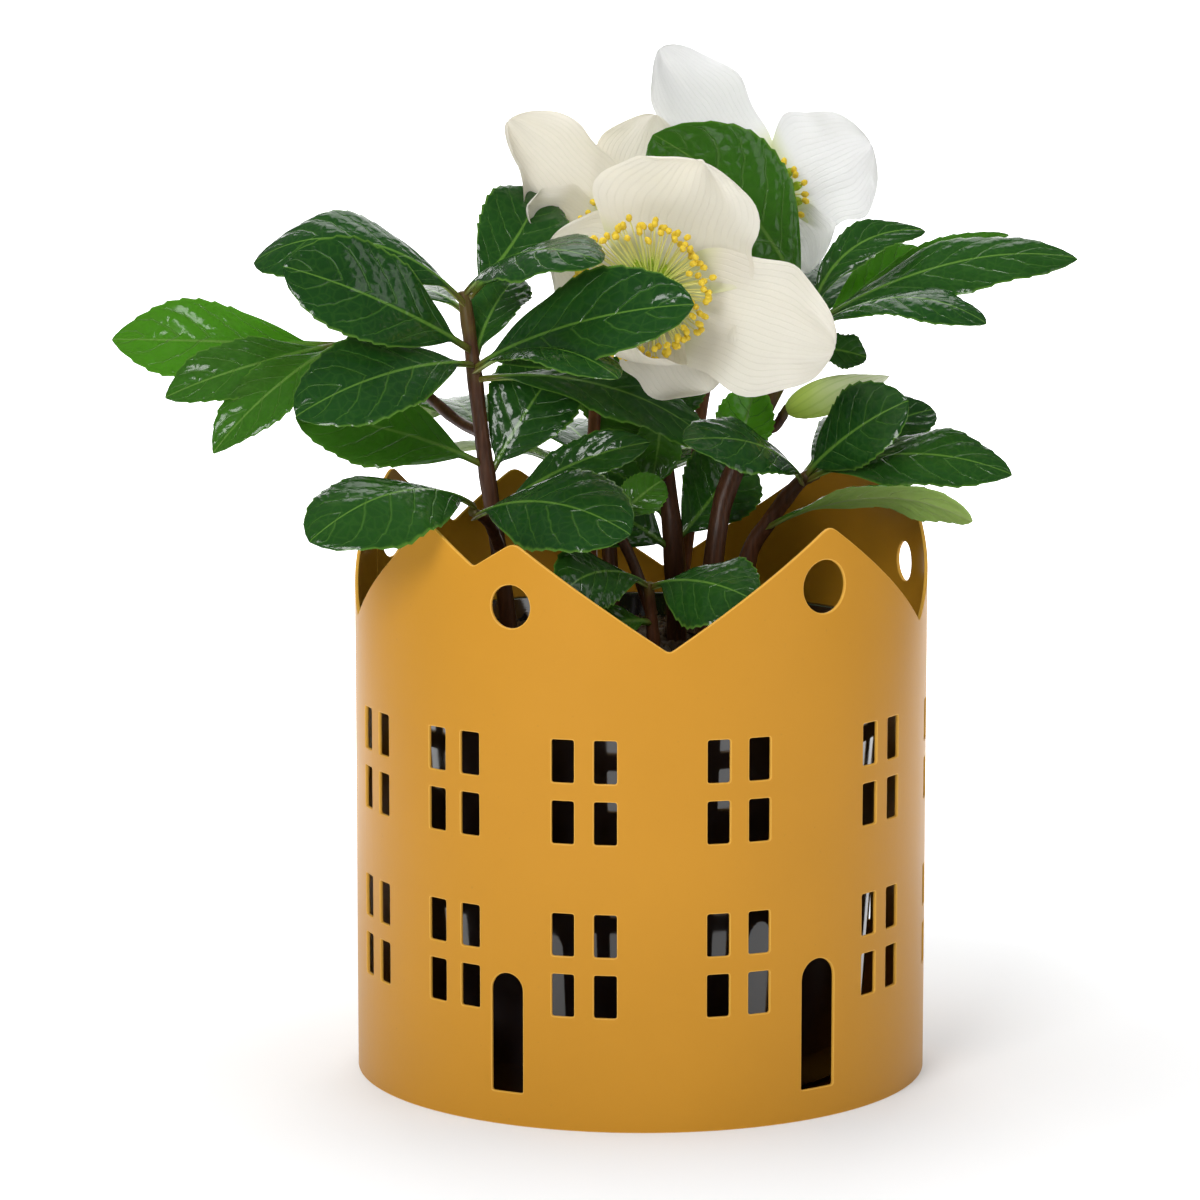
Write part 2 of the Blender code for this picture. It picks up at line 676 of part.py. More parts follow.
def window_at(heading):
    """True where the middle of a strip of sheet passes through a pane."""
    for centre in WINDOW_HEADINGS:
        off = abs((heading - centre + 180.0) % 360.0 - 180.0) * math.radians(1.0) * COVER_RADIUS
        if MULLION / 2 < off < MULLION / 2 + PANE_WIDTH:
            return True
    return False


def pane_rows():
    rows = []
    for middle in FLOOR_HEIGHTS:
        for sign in (-1, 1):
            near = middle + sign * TRANSOM / 2
            far = middle + sign * (TRANSOM / 2 + PANE_HEIGHT)
            rows.append((min(near, far), max(near, far)))
    return rows


def radial_prism(name, heading, outline, collection):
    """A cutter: a flat outline, across and up, drawn through the sheet along the cover's radius."""
    inward = heading_vector(heading)
    across = heading_vector(heading + 90.0)
    near, far = COVER_RADIUS - 6.0, COVER_RADIUS + 6.0
    points = [tuple(inward * r + across * x + Vector((0, 0, z))) for r in (near, far) for x, z in outline]
    count = len(outline)
    faces = [(k, (k + 1) % count, count + (k + 1) % count, count + k) for k in range(count)]
    faces += [tuple(range(count - 1, -1, -1)), tuple(range(count, 2 * count))]
    obj = object_from_points(points, faces, name, collection)
    bm = bmesh.new()
    bm.from_mesh(obj.data)
    bmesh.ops.recalc_face_normals(bm, faces=bm.faces)
    bm.to_mesh(obj.data)
    bm.free()
    return make_cutter(obj)


def arch_outline(door, steps=6):
    half = door.width / 2
    spring = door.sill + door.height - half
    outline = [(-half, door.sill), (half, door.sill)]
    for k in range(steps + 1):
        angle = math.pi * k / steps
        outline.append((half * math.cos(angle), spring + half * math.sin(angle)))
    return outline


def round_outline(eye, steps=12):
    angles = [2.0 * math.pi * (k + 0.5) / steps for k in range(steps)]
    return [(eye.radius * math.cos(a), eye.height + eye.radius * math.sin(a)) for a in angles]


def make_cover(parts, cutters, material):
    """The rolled sheet: a strip of flat facets with the panes left out, thickened inwards."""
    headings = facet_headings()
    levels = [0.0] + [z for row in sorted(pane_rows()) for z in row] + [PLAIN_SHEET_TOP]
    open_rows = {(low, high) for low, high in pane_rows()}
    bm = bmesh.new()
    grid = []
    for heading in headings:
        column = [bm.verts.new(on_cover(heading, z)) for z in levels]
        column.append(bm.verts.new(on_cover(heading, roof_height(heading))))
        grid.append(column)
    count = len(headings)
    for k, heading in enumerate(headings):
        following = headings[(k + 1) % count] + (360.0 if k == count - 1 else 0.0)
        glazed = window_at((heading + following) / 2)
        left, right = grid[k], grid[(k + 1) % count]
        for row in range(len(levels)):
            low = levels[row]
            high = levels[row + 1] if row + 1 < len(levels) else None
            if glazed and (low, high) in open_rows:
                continue
            bm.faces.new((left[row], right[row], right[row + 1], left[row + 1]))
    bm.normal_update()
    bmesh.ops.dissolve_limit(bm, angle_limit=math.radians(0.5), verts=bm.verts, edges=bm.edges)
    straight = [v for v in bm.verts if len(v.link_edges) == 2 and v.calc_edge_angle() < 0.01]
    bmesh.ops.dissolve_verts(bm, verts=straight)
    cover = object_from_bmesh(bm, "cover", parts, material)
    wall = cover.modifiers.new("sheet", "SOLIDIFY")
    wall.thickness = SHEET * MM
    wall.offset = -1.0
    wall.use_even_offset = True
    outlines = [(d.heading, arch_outline(d)) for d in DOORS] + [(e.heading, round_outline(e)) for e in EYES]
    for number, (heading, outline) in enumerate(outlines):
        cut = cover.modifiers.new("cut_out", "BOOLEAN")
        cut.operation = "DIFFERENCE"
        cut.object = radial_prism(f"cut_out_{number}", heading, outline, cutters)
    return cover


def make_cover_base(parts, material):
    bm = bmesh.new()
    radius = COVER_RADIUS - SHEET - GAP - 0.2
    bmesh.ops.create_cone(
        bm, cap_ends=True, segments=40, radius1=radius, radius2=radius, depth=BASE_THICKNESS
    )
    bmesh.ops.translate(bm, verts=bm.verts, vec=(0, 0, BASE_THICKNESS / 2))
    return object_from_bmesh(bm, "cover_base", parts, material)


def turned(name, profile, parts, material, sides):
    """A profile of (radius, height) pairs, outer side first and downwards, spun round the axis."""
    bm = bmesh.new()
    closed = profile[0] == profile[-1]
    verts = [bm.verts.new((radius, 0.0, height)) for radius, height in profile[: -1 if closed else None]]
    for one, two in zip(verts, verts[1:] + verts[:1] if closed else verts[1:]):
        bm.edges.new((one, two))
    obj = object_from_bmesh(bm, name, parts, material)
    spin = obj.modifiers.new("turn", "SCREW")
    spin.steps = sides
    spin.render_steps = sides
    spin.use_merge_vertices = True
    spin.merge_threshold = 0.00001
    return obj


def pot_radius(height):
    """Outer radius of the nursery pot's tapered wall at a height."""
    share = (height - POT_FLOOR) / POT_HEIGHT
    return POT_FOOT_RADIUS + (POT_RIM_RADIUS - POT_LIP - POT_FOOT_RADIUS) * share


def make_pot(parts, cutters, material):
    rim = POT_FLOOR + POT_HEIGHT
    shoulder = rim - POT_LIP_HEIGHT
    profile = (
        (pot_radius(rim) - POT_WALL, rim),
        (POT_RIM_RADIUS, rim),
        (POT_RIM_RADIUS, shoulder),
        (pot_radius(shoulder), shoulder),
        (POT_FOOT_RADIUS, POT_FLOOR),
        (0.0, POT_FLOOR),
        (0.0, POT_FLOOR + POT_WALL),
        (POT_FOOT_RADIUS - POT_WALL, POT_FLOOR + POT_WALL),
        (pot_radius(rim) - POT_WALL, rim),
    )
    pot = turned("nursery_pot", profile, parts, material, POT_SIDES)
    for k in range(DRAIN_COUNT):
        place = heading_vector(360.0 * (k + 0.45) / DRAIN_COUNT) * DRAIN_CIRCLE
        bm = bmesh.new()
        bmesh.ops.create_cone(
            bm, cap_ends=True, segments=12, radius1=DRAIN_RADIUS, radius2=DRAIN_RADIUS, depth=8.0
        )
        bmesh.ops.translate(bm, verts=bm.verts, vec=place + Vector((0, 0, POT_FLOOR)))
        cutter = make_cutter(object_from_bmesh(bm, f"drain_{k}", cutters))
        cut = pot.modifiers.new("drain", "BOOLEAN")
        cut.operation = "DIFFERENCE"
        cut.object = cutter
    return pot


def make_soil(parts, cutters, material, feet):
    """The ball of peat: fills the pot to just under its rim, a little proud in the middle."""
    floor = POT_FLOOR + POT_WALL + GAP
    inner = pot_radius(floor) - POT_WALL - 2 * GAP
    edge = pot_radius(SOIL_TOP) - POT_WALL - 2 * GAP
    profile = [(0.0, SOIL_TOP + SOIL_CROWN)]
    for share in (0.35, 0.7, 0.9):
        profile.append((edge * share, SOIL_TOP + SOIL_CROWN * math.cos(share * math.pi / 2)))
    profile += [(edge, SOIL_TOP), (inner, floor), (0.0, floor)]
    soil = turned("soil", profile, parts, material, POT_SIDES)
    for number, (place, radius) in enumerate(feet):
        bm = bmesh.new()
        wide = radius + HOLE_CLEARANCE
        depth = SOIL_TOP + SOIL_CROWN + 4.0 - HOLE_FLOOR
        bmesh.ops.create_cone(bm, cap_ends=True, segments=8, radius1=wide, radius2=wide, depth=depth)
        bmesh.ops.translate(bm, verts=bm.verts, vec=(place[0], place[1], HOLE_FLOOR + depth / 2))
        cutter = make_cutter(object_from_bmesh(bm, f"stem_hole_{number}", cutters))
        cut = soil.modifiers.new("stem_hole", "BOOLEAN")
        cut.operation = "DIFFERENCE"
        cut.object = cutter
    return soil


def main():
    clear_scene()
    parts = make_collection("potted_hellebore")
    cutters = make_collection("cutters")
    cutters.hide_render = True
    finish = {name: make_material(name) for name in PALETTE}

    make_cover(parts, cutters, finish["powder_coat"])
    make_cover_base(parts, finish["powder_coat"])
    make_pot(parts, cutters, finish["black_plastic"])
    front_knob, back = knob(BLOOMS[0], parts)
    axis, _, _ = bloom_frame(BLOOMS[0])
    centre_path = (*CENTRE_STEM, tuple(back + axis * STALK_INTO_KNOB))
    left_twigs = [twig(LEFT_PETIOLE, 1.5, parts), twig(LEFT_FRONT_PETIOLE, 1.6, parts)]
    bud_pieces = [twig(BUD_STALK, 1.4, parts), bud(*BUD, parts)]
    leafy_stems = (
        # name, path, leaves, what else grows from it
        ("left", LEFT_STEM, LEFT_LEAVES, left_twigs),
        ("centre", centre_path, CENTRE_LEAVES, [front_knob]),
        ("right", RIGHT_STEM, RIGHT_LEAVES, bud_pieces),
        ("low", LOW_STEM, LOW_LEAVES, []),
        ("front", FRONT_STEM, FRONT_LEAVES, [twig(FRONT_SHOOT, 1.6, parts)]),
        ("back", BACK_STEM, BACK_LEAVES, []),
    )
    feet = [(path[0], LEAFY_STEM_RADII[name]) for name, path, _, _ in leafy_stems]
    feet += [(bloom.stalk[0], STALK_RADII[0]) for bloom in BLOOMS if bloom.stalk]
    make_soil(parts, cutters, finish["peat"], feet)
    for name, path, leaves, extras in leafy_stems:
        leafy_stem("leafy_stem_" + name, path, LEAFY_STEM_RADII[name], leaves, parts, finish["leaf"], extras)

    for bloom in BLOOMS:
        if bloom.stalk:
            make_stalk(bloom, parts, finish["stalk"])
        make_tepals(bloom, parts, finish["tepal"])
        make_heart(bloom, parts, finish["nectary"])
        make_stamens(bloom, parts, finish["stamen"])


main()
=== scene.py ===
"""The looks of a white hellebore in its nursery pot, standing in a round metal cover cut as a row of houses.

Places and sizes in the tables are millimetres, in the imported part's own frame: +Z is up, the best side faces
-Y, and headings round the cover are degrees from -Y towards +X.
"""

import math
from collections import namedtuple

import bmesh
import bpy
import numpy as np
from mathutils import Matrix, Vector
from mathutils.geometry import delaunay_2d_cdt


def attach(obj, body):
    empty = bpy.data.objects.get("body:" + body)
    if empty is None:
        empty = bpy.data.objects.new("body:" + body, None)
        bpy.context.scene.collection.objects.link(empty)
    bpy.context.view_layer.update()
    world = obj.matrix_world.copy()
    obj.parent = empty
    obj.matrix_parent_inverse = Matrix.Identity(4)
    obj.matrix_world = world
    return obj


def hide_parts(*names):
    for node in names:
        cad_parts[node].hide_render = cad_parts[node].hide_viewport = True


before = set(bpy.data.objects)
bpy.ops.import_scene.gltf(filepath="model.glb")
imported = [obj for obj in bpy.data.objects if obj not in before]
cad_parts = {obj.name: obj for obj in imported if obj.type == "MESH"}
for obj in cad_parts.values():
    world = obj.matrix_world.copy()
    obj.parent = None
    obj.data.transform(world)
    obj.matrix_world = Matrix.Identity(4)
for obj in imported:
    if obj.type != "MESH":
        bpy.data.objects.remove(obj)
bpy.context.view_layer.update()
BODY = "root"


# Cover
# One steel sheet, cut flat with its gables, doors and panes, then rolled into a drum and powder coated.
# Its two ends meet in a fine upright joint at the back, and every cut edge is rounded by the coating.

MM = 0.001
COVER_RADIUS = 80.0
SHEET = 1.0
EDGE_ROUND = 0.3
WELD = 0.0005
SHEET_FLAT = SHEET / 2 - WELD
INSIDE_OUTLINES = 1
SEAM_HEADING = 252.0
SEAM_GAP = 0.12
BEND_STEP = 1.5
RIDGE_ROUND = 4.0
VALLEY_ROUND = 2.0
END_ROUND = 0.6
PANE_ROUND = 0.7
CORNER_STEPS = 4
ROOFLINE = (
    # heading and height of each ridge, valley and step between houses, once round
    (-78.3, 130.1),
    (-45.3, 161.5),
    (-34.0, 151.0),
    (-25.0, 158.3),
    (5.4, 129.8),
    (39.0, 161.6),
    (73.3, 129.9),
    (106.8, 160.5),
    (113.5, 155.2),
    (130.0, 172.5),
    (175.0, 130.0),
    (208.0, 161.0),
    (223.5, 146.5),
    (244.0, 165.5),
)
WINDOW_HEADINGS = (-65.6, -39.1, -10.9, 19.2, 55.0, 85.8, 128.5, 151.0, 192.0, 228.5, 265.0)
FLOOR_HEIGHTS = (45.3, 92.3)
PANE_WIDTH = 6.2
PANE_HEIGHT = 11.6
MULLION = 5.4
TRANSOM = 4.9
DOORS = (
    # heading, sill, width, height
    (-26.6, 9.1, 9.4, 32.7),
    (36.8, 8.5, 11.0, 35.8),
    (107.2, 8.5, 11.0, 35.8),
    (208.0, 8.8, 10.0, 34.0),
)
ROUND_WINDOWS = (
    # heading, height, radius
    (-25.7, 141.1, 5.8),
    (37.8, 145.3, 7.2),
    (108.3, 139.6, 5.6),
    (244.5, 146.0, 6.6),
)


class Value:
    """A shader node's output. Arithmetic on it adds Math nodes, and `of` gives another output of its node."""

    def __init__(self, finish, socket):
        self.finish = finish
        self.socket = socket

    def math(self, operation, first, second=None):
        return self.finish.node("ShaderNodeMath", {"operation": operation}, {0: first, 1: second})

    def of(self, name):
        return Value(self.finish, self.socket.node.outputs[name])

    def __add__(self, other):
        return self.math("ADD", self, other)

    __radd__ = __add__

    def __sub__(self, other):
        return self.math("SUBTRACT", self, other)

    def __rsub__(self, other):
        return self.math("SUBTRACT", other, self)

    def __mul__(self, other):
        return self.math("MULTIPLY", self, other)

    __rmul__ = __mul__

    def __truediv__(self, other):
        return self.math("DIVIDE", self, other)

    def __abs__(self):
        return self.math("ABSOLUTE", self)

    def __mod__(self, other):
        return self.math("FLOORED_MODULO", self, other)


class Finish:
    """A material in the making. Each call of node adds one node and gives back its output."""

    def __init__(self, name):
        self.material = bpy.data.materials.new(name)
        self.material.use_nodes = True
        self.tree = self.material.node_tree
        self.tree.nodes.clear()

    def node(self, kind, settings=None, inputs=None, output=0):
        made = self.tree.nodes.new(kind)
        for key, setting in (settings or {}).items():
            setattr(made, key, setting)
        for key, value in (inputs or {}).items():
            if isinstance(value, Value):
                self.tree.links.new(value.socket, made.inputs[key])
            elif value is not None:
                made.inputs[key].default_value = value
        return Value(self, made.outputs[output])

    def place(self):
        return self.node("ShaderNodeTexCoord", output="Object")

    def mark(self, name):
        """The three numbers that a piece's points carry under this name."""
        carried = self.node("ShaderNodeAttribute", {"attribute_name": name}, output="Vector")
        first = self.node("ShaderNodeSeparateXYZ", {}, {0: carried})
        return first, first.of("Y"), first.of("Z")

    def noise(self, at, scale, detail=3.0, rough=0.5):
        return self.node(
            "ShaderNodeTexNoise", {}, {"Vector": at, "Scale": scale, "Detail": detail, "Roughness": rough}
        )

    def ease(self, value, low, high):
        """0 below low, 1 above high, and an even curve between them."""
        return self.node(
            "ShaderNodeMapRange",
            {"interpolation_type": "SMOOTHSTEP"},
            {"Value": value, "From Min": low, "From Max": high},
        )

    def blend(self, share, one, two):
        """A colour between one and two; a colour is three numbers or an output."""
        sides = [(*c, 1.0) if isinstance(c, tuple) else c for c in (one, two)]
        return self.node("ShaderNodeMix", {"data_type": "RGBA"}, {0: share, 6: sides[0], 7: sides[1]}, 2)

    def bump(self, height, distance, strength):
        return self.node("ShaderNodeBump", {}, {"Height": height, "Distance": distance, "Strength": strength})

    def surface(self, shader):
        out = self.tree.nodes.new("ShaderNodeOutputMaterial")
        self.tree.links.new(shader.socket, out.inputs["Surface"])
        return self.material

    def solid(self, inputs):
        return self.surface(self.node("ShaderNodeBsdfPrincipled", {}, inputs))

    def laid(self, first, *over):
        """A colour with others laid over it, each by its share."""
        for share, colour in over:
            first = self.blend(share, first, colour)
        return first

    def lit_through(self, normal, first, *over):
        """Light let through in one colour, with others laid over it by their shares, each its own shader."""
        through = self.node("ShaderNodeBsdfTranslucent", {}, {"Color": (*first, 1.0), "Normal": normal})
        for share, colour in over:
            above = self.node("ShaderNodeBsdfTranslucent", {}, {"Color": (*colour, 1.0), "Normal": normal})
            through = self.node("ShaderNodeMixShader", {}, {0: share, 1: through, 2: above})
        return through

    def thin(self, inputs, share, through):
        """A skin that lets a share of the light through."""
        skin = self.node("ShaderNodeBsdfPrincipled", {}, inputs)
        return self.surface(self.node("ShaderNodeMixShader", {}, {0: share, 1: skin, 2: through}))


def powder_coat():
    """Satin ochre coating: faintly clouded, with a fine orange peel, and a painted highlight, a paler ochre,
    on every rounded cut edge.
    """
    finish = Finish("powder_coat")
    place = finish.place()
    clouds = finish.noise(place, 22.0, 4.0)
    specks = finish.ease(finish.noise(place, 900.0, 2.0), 0.7, 0.8)
    ochre = finish.blend(clouds, (0.50, 0.229, 0.016), (0.565, 0.263, 0.022))
    ochre = finish.blend(specks * 0.25, ochre, (0.32, 0.165, 0.025))
    # Painted highlight: the faces of the rounded cut edges take half of a paler, warmer ochre, standing in for
    # the light those edges catch.
    rim = finish.node("ShaderNodeAttribute", {"attribute_name": "rim"}, output="Fac")
    ochre = finish.blend(rim * 0.5, ochre, (0.82, 0.47, 0.09))
    peel = finish.noise(place, 1400.0, 2.0)
    waves = finish.noise(place, 260.0, 2.0)
    inputs = {
        "Base Color": ochre,
        "Roughness": 0.34 + clouds * 0.1,
        "Specular IOR Level": 0.16,
        "Normal": finish.bump(peel + waves * 0.6, 0.00006, 0.35),
    }
    return finish.solid(inputs)


def rounded(corners, radius, steps=5):
    """A closed outline with its corners rounded off.

    Each corner becomes a curve from a point on one side to a point on the other, as far from the corner as a
    round of that radius touches them, drawn to the corner by the quadratic (1-s)^2 A + 2s(1-s) P + s^2 B.
    """
    corner = np.asarray(corners, float)
    before, after = np.roll(corner, 1, axis=0) - corner, np.roll(corner, -1, axis=0) - corner
    long_before, long_after = np.linalg.norm(before, axis=1), np.linalg.norm(after, axis=1)
    before, after = before / long_before[:, None], after / long_after[:, None]
    half = np.arccos(np.clip((before * after).sum(1), -1.0, 1.0)) / 2
    reach = np.minimum(np.asarray(radius) / np.tan(half), 0.45 * np.minimum(long_before, long_after))[:, None]
    s = np.linspace(0.0, 1.0, steps)[None, :, None]
    start, end = (corner + before * reach)[:, None], (corner + after * reach)[:, None]
    return ((1 - s) ** 2 * start + 2 * s * (1 - s) * corner[:, None] + s**2 * end).reshape(-1, 2)


def arc_from_seam(heading):
    return math.radians((heading - SEAM_HEADING) % 360.0) * COVER_RADIUS


def sheet_outline():
    """The flat sheet's edge: foot, end, roofline and the other end, in arc length and height."""
    roof = sorted((arc_from_seam(heading), height) for heading, height in ROOFLINE)
    whole = math.tau * COVER_RADIUS
    left, right = SEAM_GAP, whole - SEAM_GAP
    top = np.interp(whole, [roof[-1][0], roof[0][0] + whole], [roof[-1][1], roof[0][1]])
    corners = [(left, 0.0), (right, 0.0), (right, top), *roof[::-1], (left, top)]
    heights = np.array([height for _, height in roof[::-1]])
    ridge = heights > (np.roll(heights, 1) + np.roll(heights, -1)) / 2
    radii = [END_ROUND] * 3 + [*np.where(ridge, RIDGE_ROUND, VALLEY_ROUND), END_ROUND]
    return rounded(corners, radii)


def pane_outlines():
    """Two by two panes for each window on each floor."""
    pane = np.array([(-1, -1), (1, -1), (1, 1), (-1, 1)]) * (PANE_WIDTH / 2, PANE_HEIGHT / 2)
    outlines = []
    for heading in WINDOW_HEADINGS:
        for floor in FLOOR_HEIGHTS:
            for side in (-1, 1):
                for row in (-1, 1):
                    across = arc_from_seam(heading) + side * (MULLION + PANE_WIDTH) / 2
                    up = floor + row * (TRANSOM + PANE_HEIGHT) / 2
                    outlines.append(rounded(pane + (across, up), PANE_ROUND, CORNER_STEPS))
    return outlines


def door_outlines():
    """A straight-sided door under a half-round arch."""
    outlines = []
    turn = np.linspace(0.0, math.pi, 17)
    for heading, sill, width, height in DOORS:
        half = width / 2
        spring = sill + height - half
        arch = np.column_stack([np.cos(turn), np.sin(turn)]) * half + (0.0, spring)
        corners = [(-half, spring), (-half, sill), (half, sill), (half, spring)]
        foot = rounded(corners, PANE_ROUND, CORNER_STEPS)[CORNER_STEPS:-CORNER_STEPS]
        outlines.append(np.vstack([foot, arch]) + (arc_from_seam(heading), 0.0))
    return outlines


def round_window_outlines():
    turn = np.linspace(0.0, math.tau, 36, endpoint=False)
    ring = np.column_stack([np.cos(turn), np.sin(turn)])
    return [ring * radius + (arc_from_seam(heading), height) for heading, height, radius in ROUND_WINDOWS]


def flat_sheet(outlines):
    """The cut sheet before rolling: filled outlines with rounded edges, as a mesh in millimetres."""
    curve = bpy.data.curves.new("cover", "CURVE")
    curve.dimensions = "2D"
    curve.fill_mode = "BOTH"
    curve.extrude = SHEET / 2 - EDGE_ROUND
    curve.bevel_depth = EDGE_ROUND
    curve.bevel_resolution = 2
    curve.offset = -EDGE_ROUND
    for outline in outlines:
        spline = curve.splines.new("POLY")
        spline.points.add(len(outline) - 1)
        depth_and_weight = np.tile((0.0, 1.0), (len(outline), 1))
        spline.points.foreach_set("co", np.hstack([outline, depth_and_weight]).ravel())
        spline.use_cyclic_u = True
    guide = bpy.data.objects.new("cover", curve)
    bpy.context.scene.collection.objects.link(guide)
    bpy.context.view_layer.update()
    mesh = bpy.data.meshes.new_from_object(guide.evaluated_get(bpy.context.evaluated_depsgraph_get()))
    bpy.data.objects.remove(guide, do_unlink=True)
    return mesh


def roll(points):
    """Arc length, height and depth through the sheet become a place on the drum."""
    arc, height, depth = points.T
    turn = arc / COVER_RADIUS + math.radians(SEAM_HEADING)
    radius = COVER_RADIUS - SHEET / 2 + depth
    return np.column_stack([np.sin(turn) * radius, -np.cos(turn) * radius, height]) * MM


def reaches_rim(face):
    """Whether a face of the flat sheet has a corner on its rounded edge."""
    return any(abs(corner.co.z) < SHEET_FLAT for corner in face.verts)


def refill(bm):
    """Fills both flat sides of the sheet anew, by a Delaunay triangulation held to the outlines.

    The curve's own fill has slivers between panes of one height, and rolling would turn those on edge.
    Every hole is convex, so a triangle with all its corners on one hole's outline lies in that hole and is
    left out.
    """
    sides = [face for face in bm.faces if not reaches_rim(face)]
    bmesh.ops.delete(bm, geom=sides, context="FACES_KEEP_BOUNDARY")
    for side in (1, -1):
        edges = [edge for edge in bm.edges if all(corner.co.z * side > SHEET_FLAT for corner in edge.verts)]
        corners = list(dict.fromkeys(corner for edge in edges for corner in edge.verts))
        number = {corner: k for k, corner in enumerate(corners)}
        outline = {}
        for start in corners:
            walk = [] if start in outline else [start]
            while walk:
                here = walk.pop()
                outline[here] = start
                there = [edge.other_vert(here) for edge in here.link_edges]
                walk += [corner for corner in there if corner in number and corner not in outline]
        edge_of_sheet = outline[min(corners, key=lambda corner: corner.co.x)]
        pairs = [(number[edge.verts[0]], number[edge.verts[1]]) for edge in edges]
        filled = delaunay_2d_cdt([corner.co.xy for corner in corners], pairs, [], INSIDE_OUTLINES, 1e-6)
        for face in filled[2]:
            loop = [corners[filled[3][k][0]] for k in face]
            owners = {outline[corner] for corner in loop}
            if owners == {edge_of_sheet} or len(owners) > 1:
                bm.faces.new(loop[::side])


def make_cover():
    mesh = flat_sheet([sheet_outline(), *pane_outlines(), *door_outlines(), *round_window_outlines()])
    bm = bmesh.new()
    bm.from_mesh(mesh)
    bmesh.ops.remove_doubles(bm, verts=bm.verts, dist=WELD)
    refill(bm)
    bm.normal_update()
    inside = [edge for edge in bm.edges if not any(reaches_rim(face) for face in edge.link_faces)]
    bmesh.ops.dissolve_limit(bm, angle_limit=math.radians(1.0), verts=bm.verts, edges=inside)
    for bend in np.arange(BEND_STEP, 360.0, BEND_STEP):
        geometry = [*bm.verts, *bm.edges, *bm.faces]
        at = (math.radians(bend) * COVER_RADIUS, 0.0, 0.0)
        bmesh.ops.bisect_plane(bm, geom=geometry, dist=WELD, plane_co=at, plane_no=(1.0, 0.0, 0.0))
    on_rim = {face: reaches_rim(face) for face in bm.faces}
    for edge in bm.edges:
        kinds = {on_rim[face] for face in edge.link_faces}
        edge.smooth = len(kinds) == 1
    rim = [float(on_rim[face]) for face in bm.faces]
    bm.to_mesh(mesh)
    bm.free()
    points = np.empty(len(mesh.vertices) * 3)
    mesh.vertices.foreach_get("co", points)
    mesh.vertices.foreach_set("co", roll(points.reshape(-1, 3)).ravel())
    mesh.polygons.foreach_set("use_smooth", [True] * len(mesh.polygons))
    mesh.attributes.new("rim", "FLOAT", "FACE").data.foreach_set("value", rim)
    mesh.materials.append(COATING)
    mesh.update()
    cover = bpy.data.objects.new("rolled_cover", mesh)
    bpy.context.scene.collection.objects.link(cover)
    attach(cover, BODY)
    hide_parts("cover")


COATING = powder_coat()
make_cover()


# Cover base
# The disc that closes the drum's foot, of the same coated steel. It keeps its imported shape.

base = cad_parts["cover_base"]
base.data.materials.clear()
base.data.materials.append(COATING)


# Nursery pot
# A thin pot moulded in glossy black plastic, which drops into the cover and stands on its base: a tapered
# wall, a stepped and rolled rim, and drain holes. Its gloss shows through the panes as soft upright lights.

POT_FLOOR = 1.8
POT_HEIGHT = 122.0
POT_FOOT_RADIUS = 62.0
POT_RIM_RADIUS = 72.0
POT_LIP = 2.4
POT_LIP_HEIGHT = 9.0
POT_WALL = 1.2
POT_SIDES = 120
POT_CORNER_ROUND = 0.5
DRAIN_COUNT = 6
DRAIN_CIRCLE = 30.0
DRAIN_RADIUS = 5.0
DRAIN_DEPTH = 8.0
SOFT_EDGE_DEGREES = 55.0


def grid_faces(rows, columns, wrap=False):
    """Corner numbers of a grid's cells, its points numbered row by row; wrap closes each row on itself."""
    index = np.arange(rows * columns).reshape(rows, columns)
    left = index if wrap else index[:, :-1]
    right = np.roll(index, -1, axis=1) if wrap else index[:, 1:]
    return np.stack([left[:-1], right[:-1], right[1:], left[1:]], axis=-1).reshape(-1, 4)


class Skin:
    """Points in millimetres, the faces between them, and named vectors that the points carry for a finish."""

    def __init__(self, points, faces, marks=None):
        self.points = np.asarray(points, float).reshape(-1, 3)
        self.faces = [np.asarray(group, int) for group in faces]
        self.marks = {name: np.asarray(mark, float).reshape(-1, 3) for name, mark in (marks or {}).items()}


def joined(skins):
    """One skin from many, each one's corner numbers moved past the points before it."""
    shifts = np.cumsum([0] + [len(skin.points) for skin in skins[:-1]])
    faces = [group + shift for skin, shift in zip(skins, shifts) for group in skin.faces]
    names = skins[0].marks
    marks = {name: np.vstack([skin.marks[name] for skin in skins]) for name in names}
    return Skin(np.vstack([skin.points for skin in skins]), faces, marks)


def add_piece(name, skin, material, replaced=()):
    """A mesh object from a skin, in metres, riding on the one body; coincident points are merged."""
    mesh = bpy.data.meshes.new(name)
    faces = [face for group in skin.faces for face in group.tolist()]
    mesh.from_pydata((skin.points * MM).tolist(), [], faces)
    for mark, vectors in skin.marks.items():
        mesh.attributes.new(mark, "FLOAT_VECTOR", "POINT").data.foreach_set("vector", vectors.ravel())
    bm = bmesh.new()
    bm.from_mesh(mesh)
    bmesh.ops.remove_doubles(bm, verts=bm.verts, dist=1e-7)
    bm.to_mesh(mesh)
    bm.free()
    mesh.shade_smooth()
    mesh.set_sharp_from_angle(angle=math.radians(SOFT_EDGE_DEGREES))
    mesh.materials.append(material)
    piece = bpy.data.objects.new(name, mesh)
    bpy.context.scene.collection.objects.link(piece)
    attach(piece, BODY)
    if replaced:
        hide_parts(*replaced)
    return piece


def turned(profile, sides):
    """A profile of radius and height spun round the axis; it starts and ends on the axis."""
    profile = np.asarray(profile, float)
    turn = np.linspace(0.0, math.tau, sides, endpoint=False)
    radius, height = profile[:, :1], profile[:, 1:]
    points = np.stack([radius * np.cos(turn), radius * np.sin(turn), height + 0 * turn], axis=-1)
    return Skin(points, [grid_faces(len(profile), sides, wrap=True)])


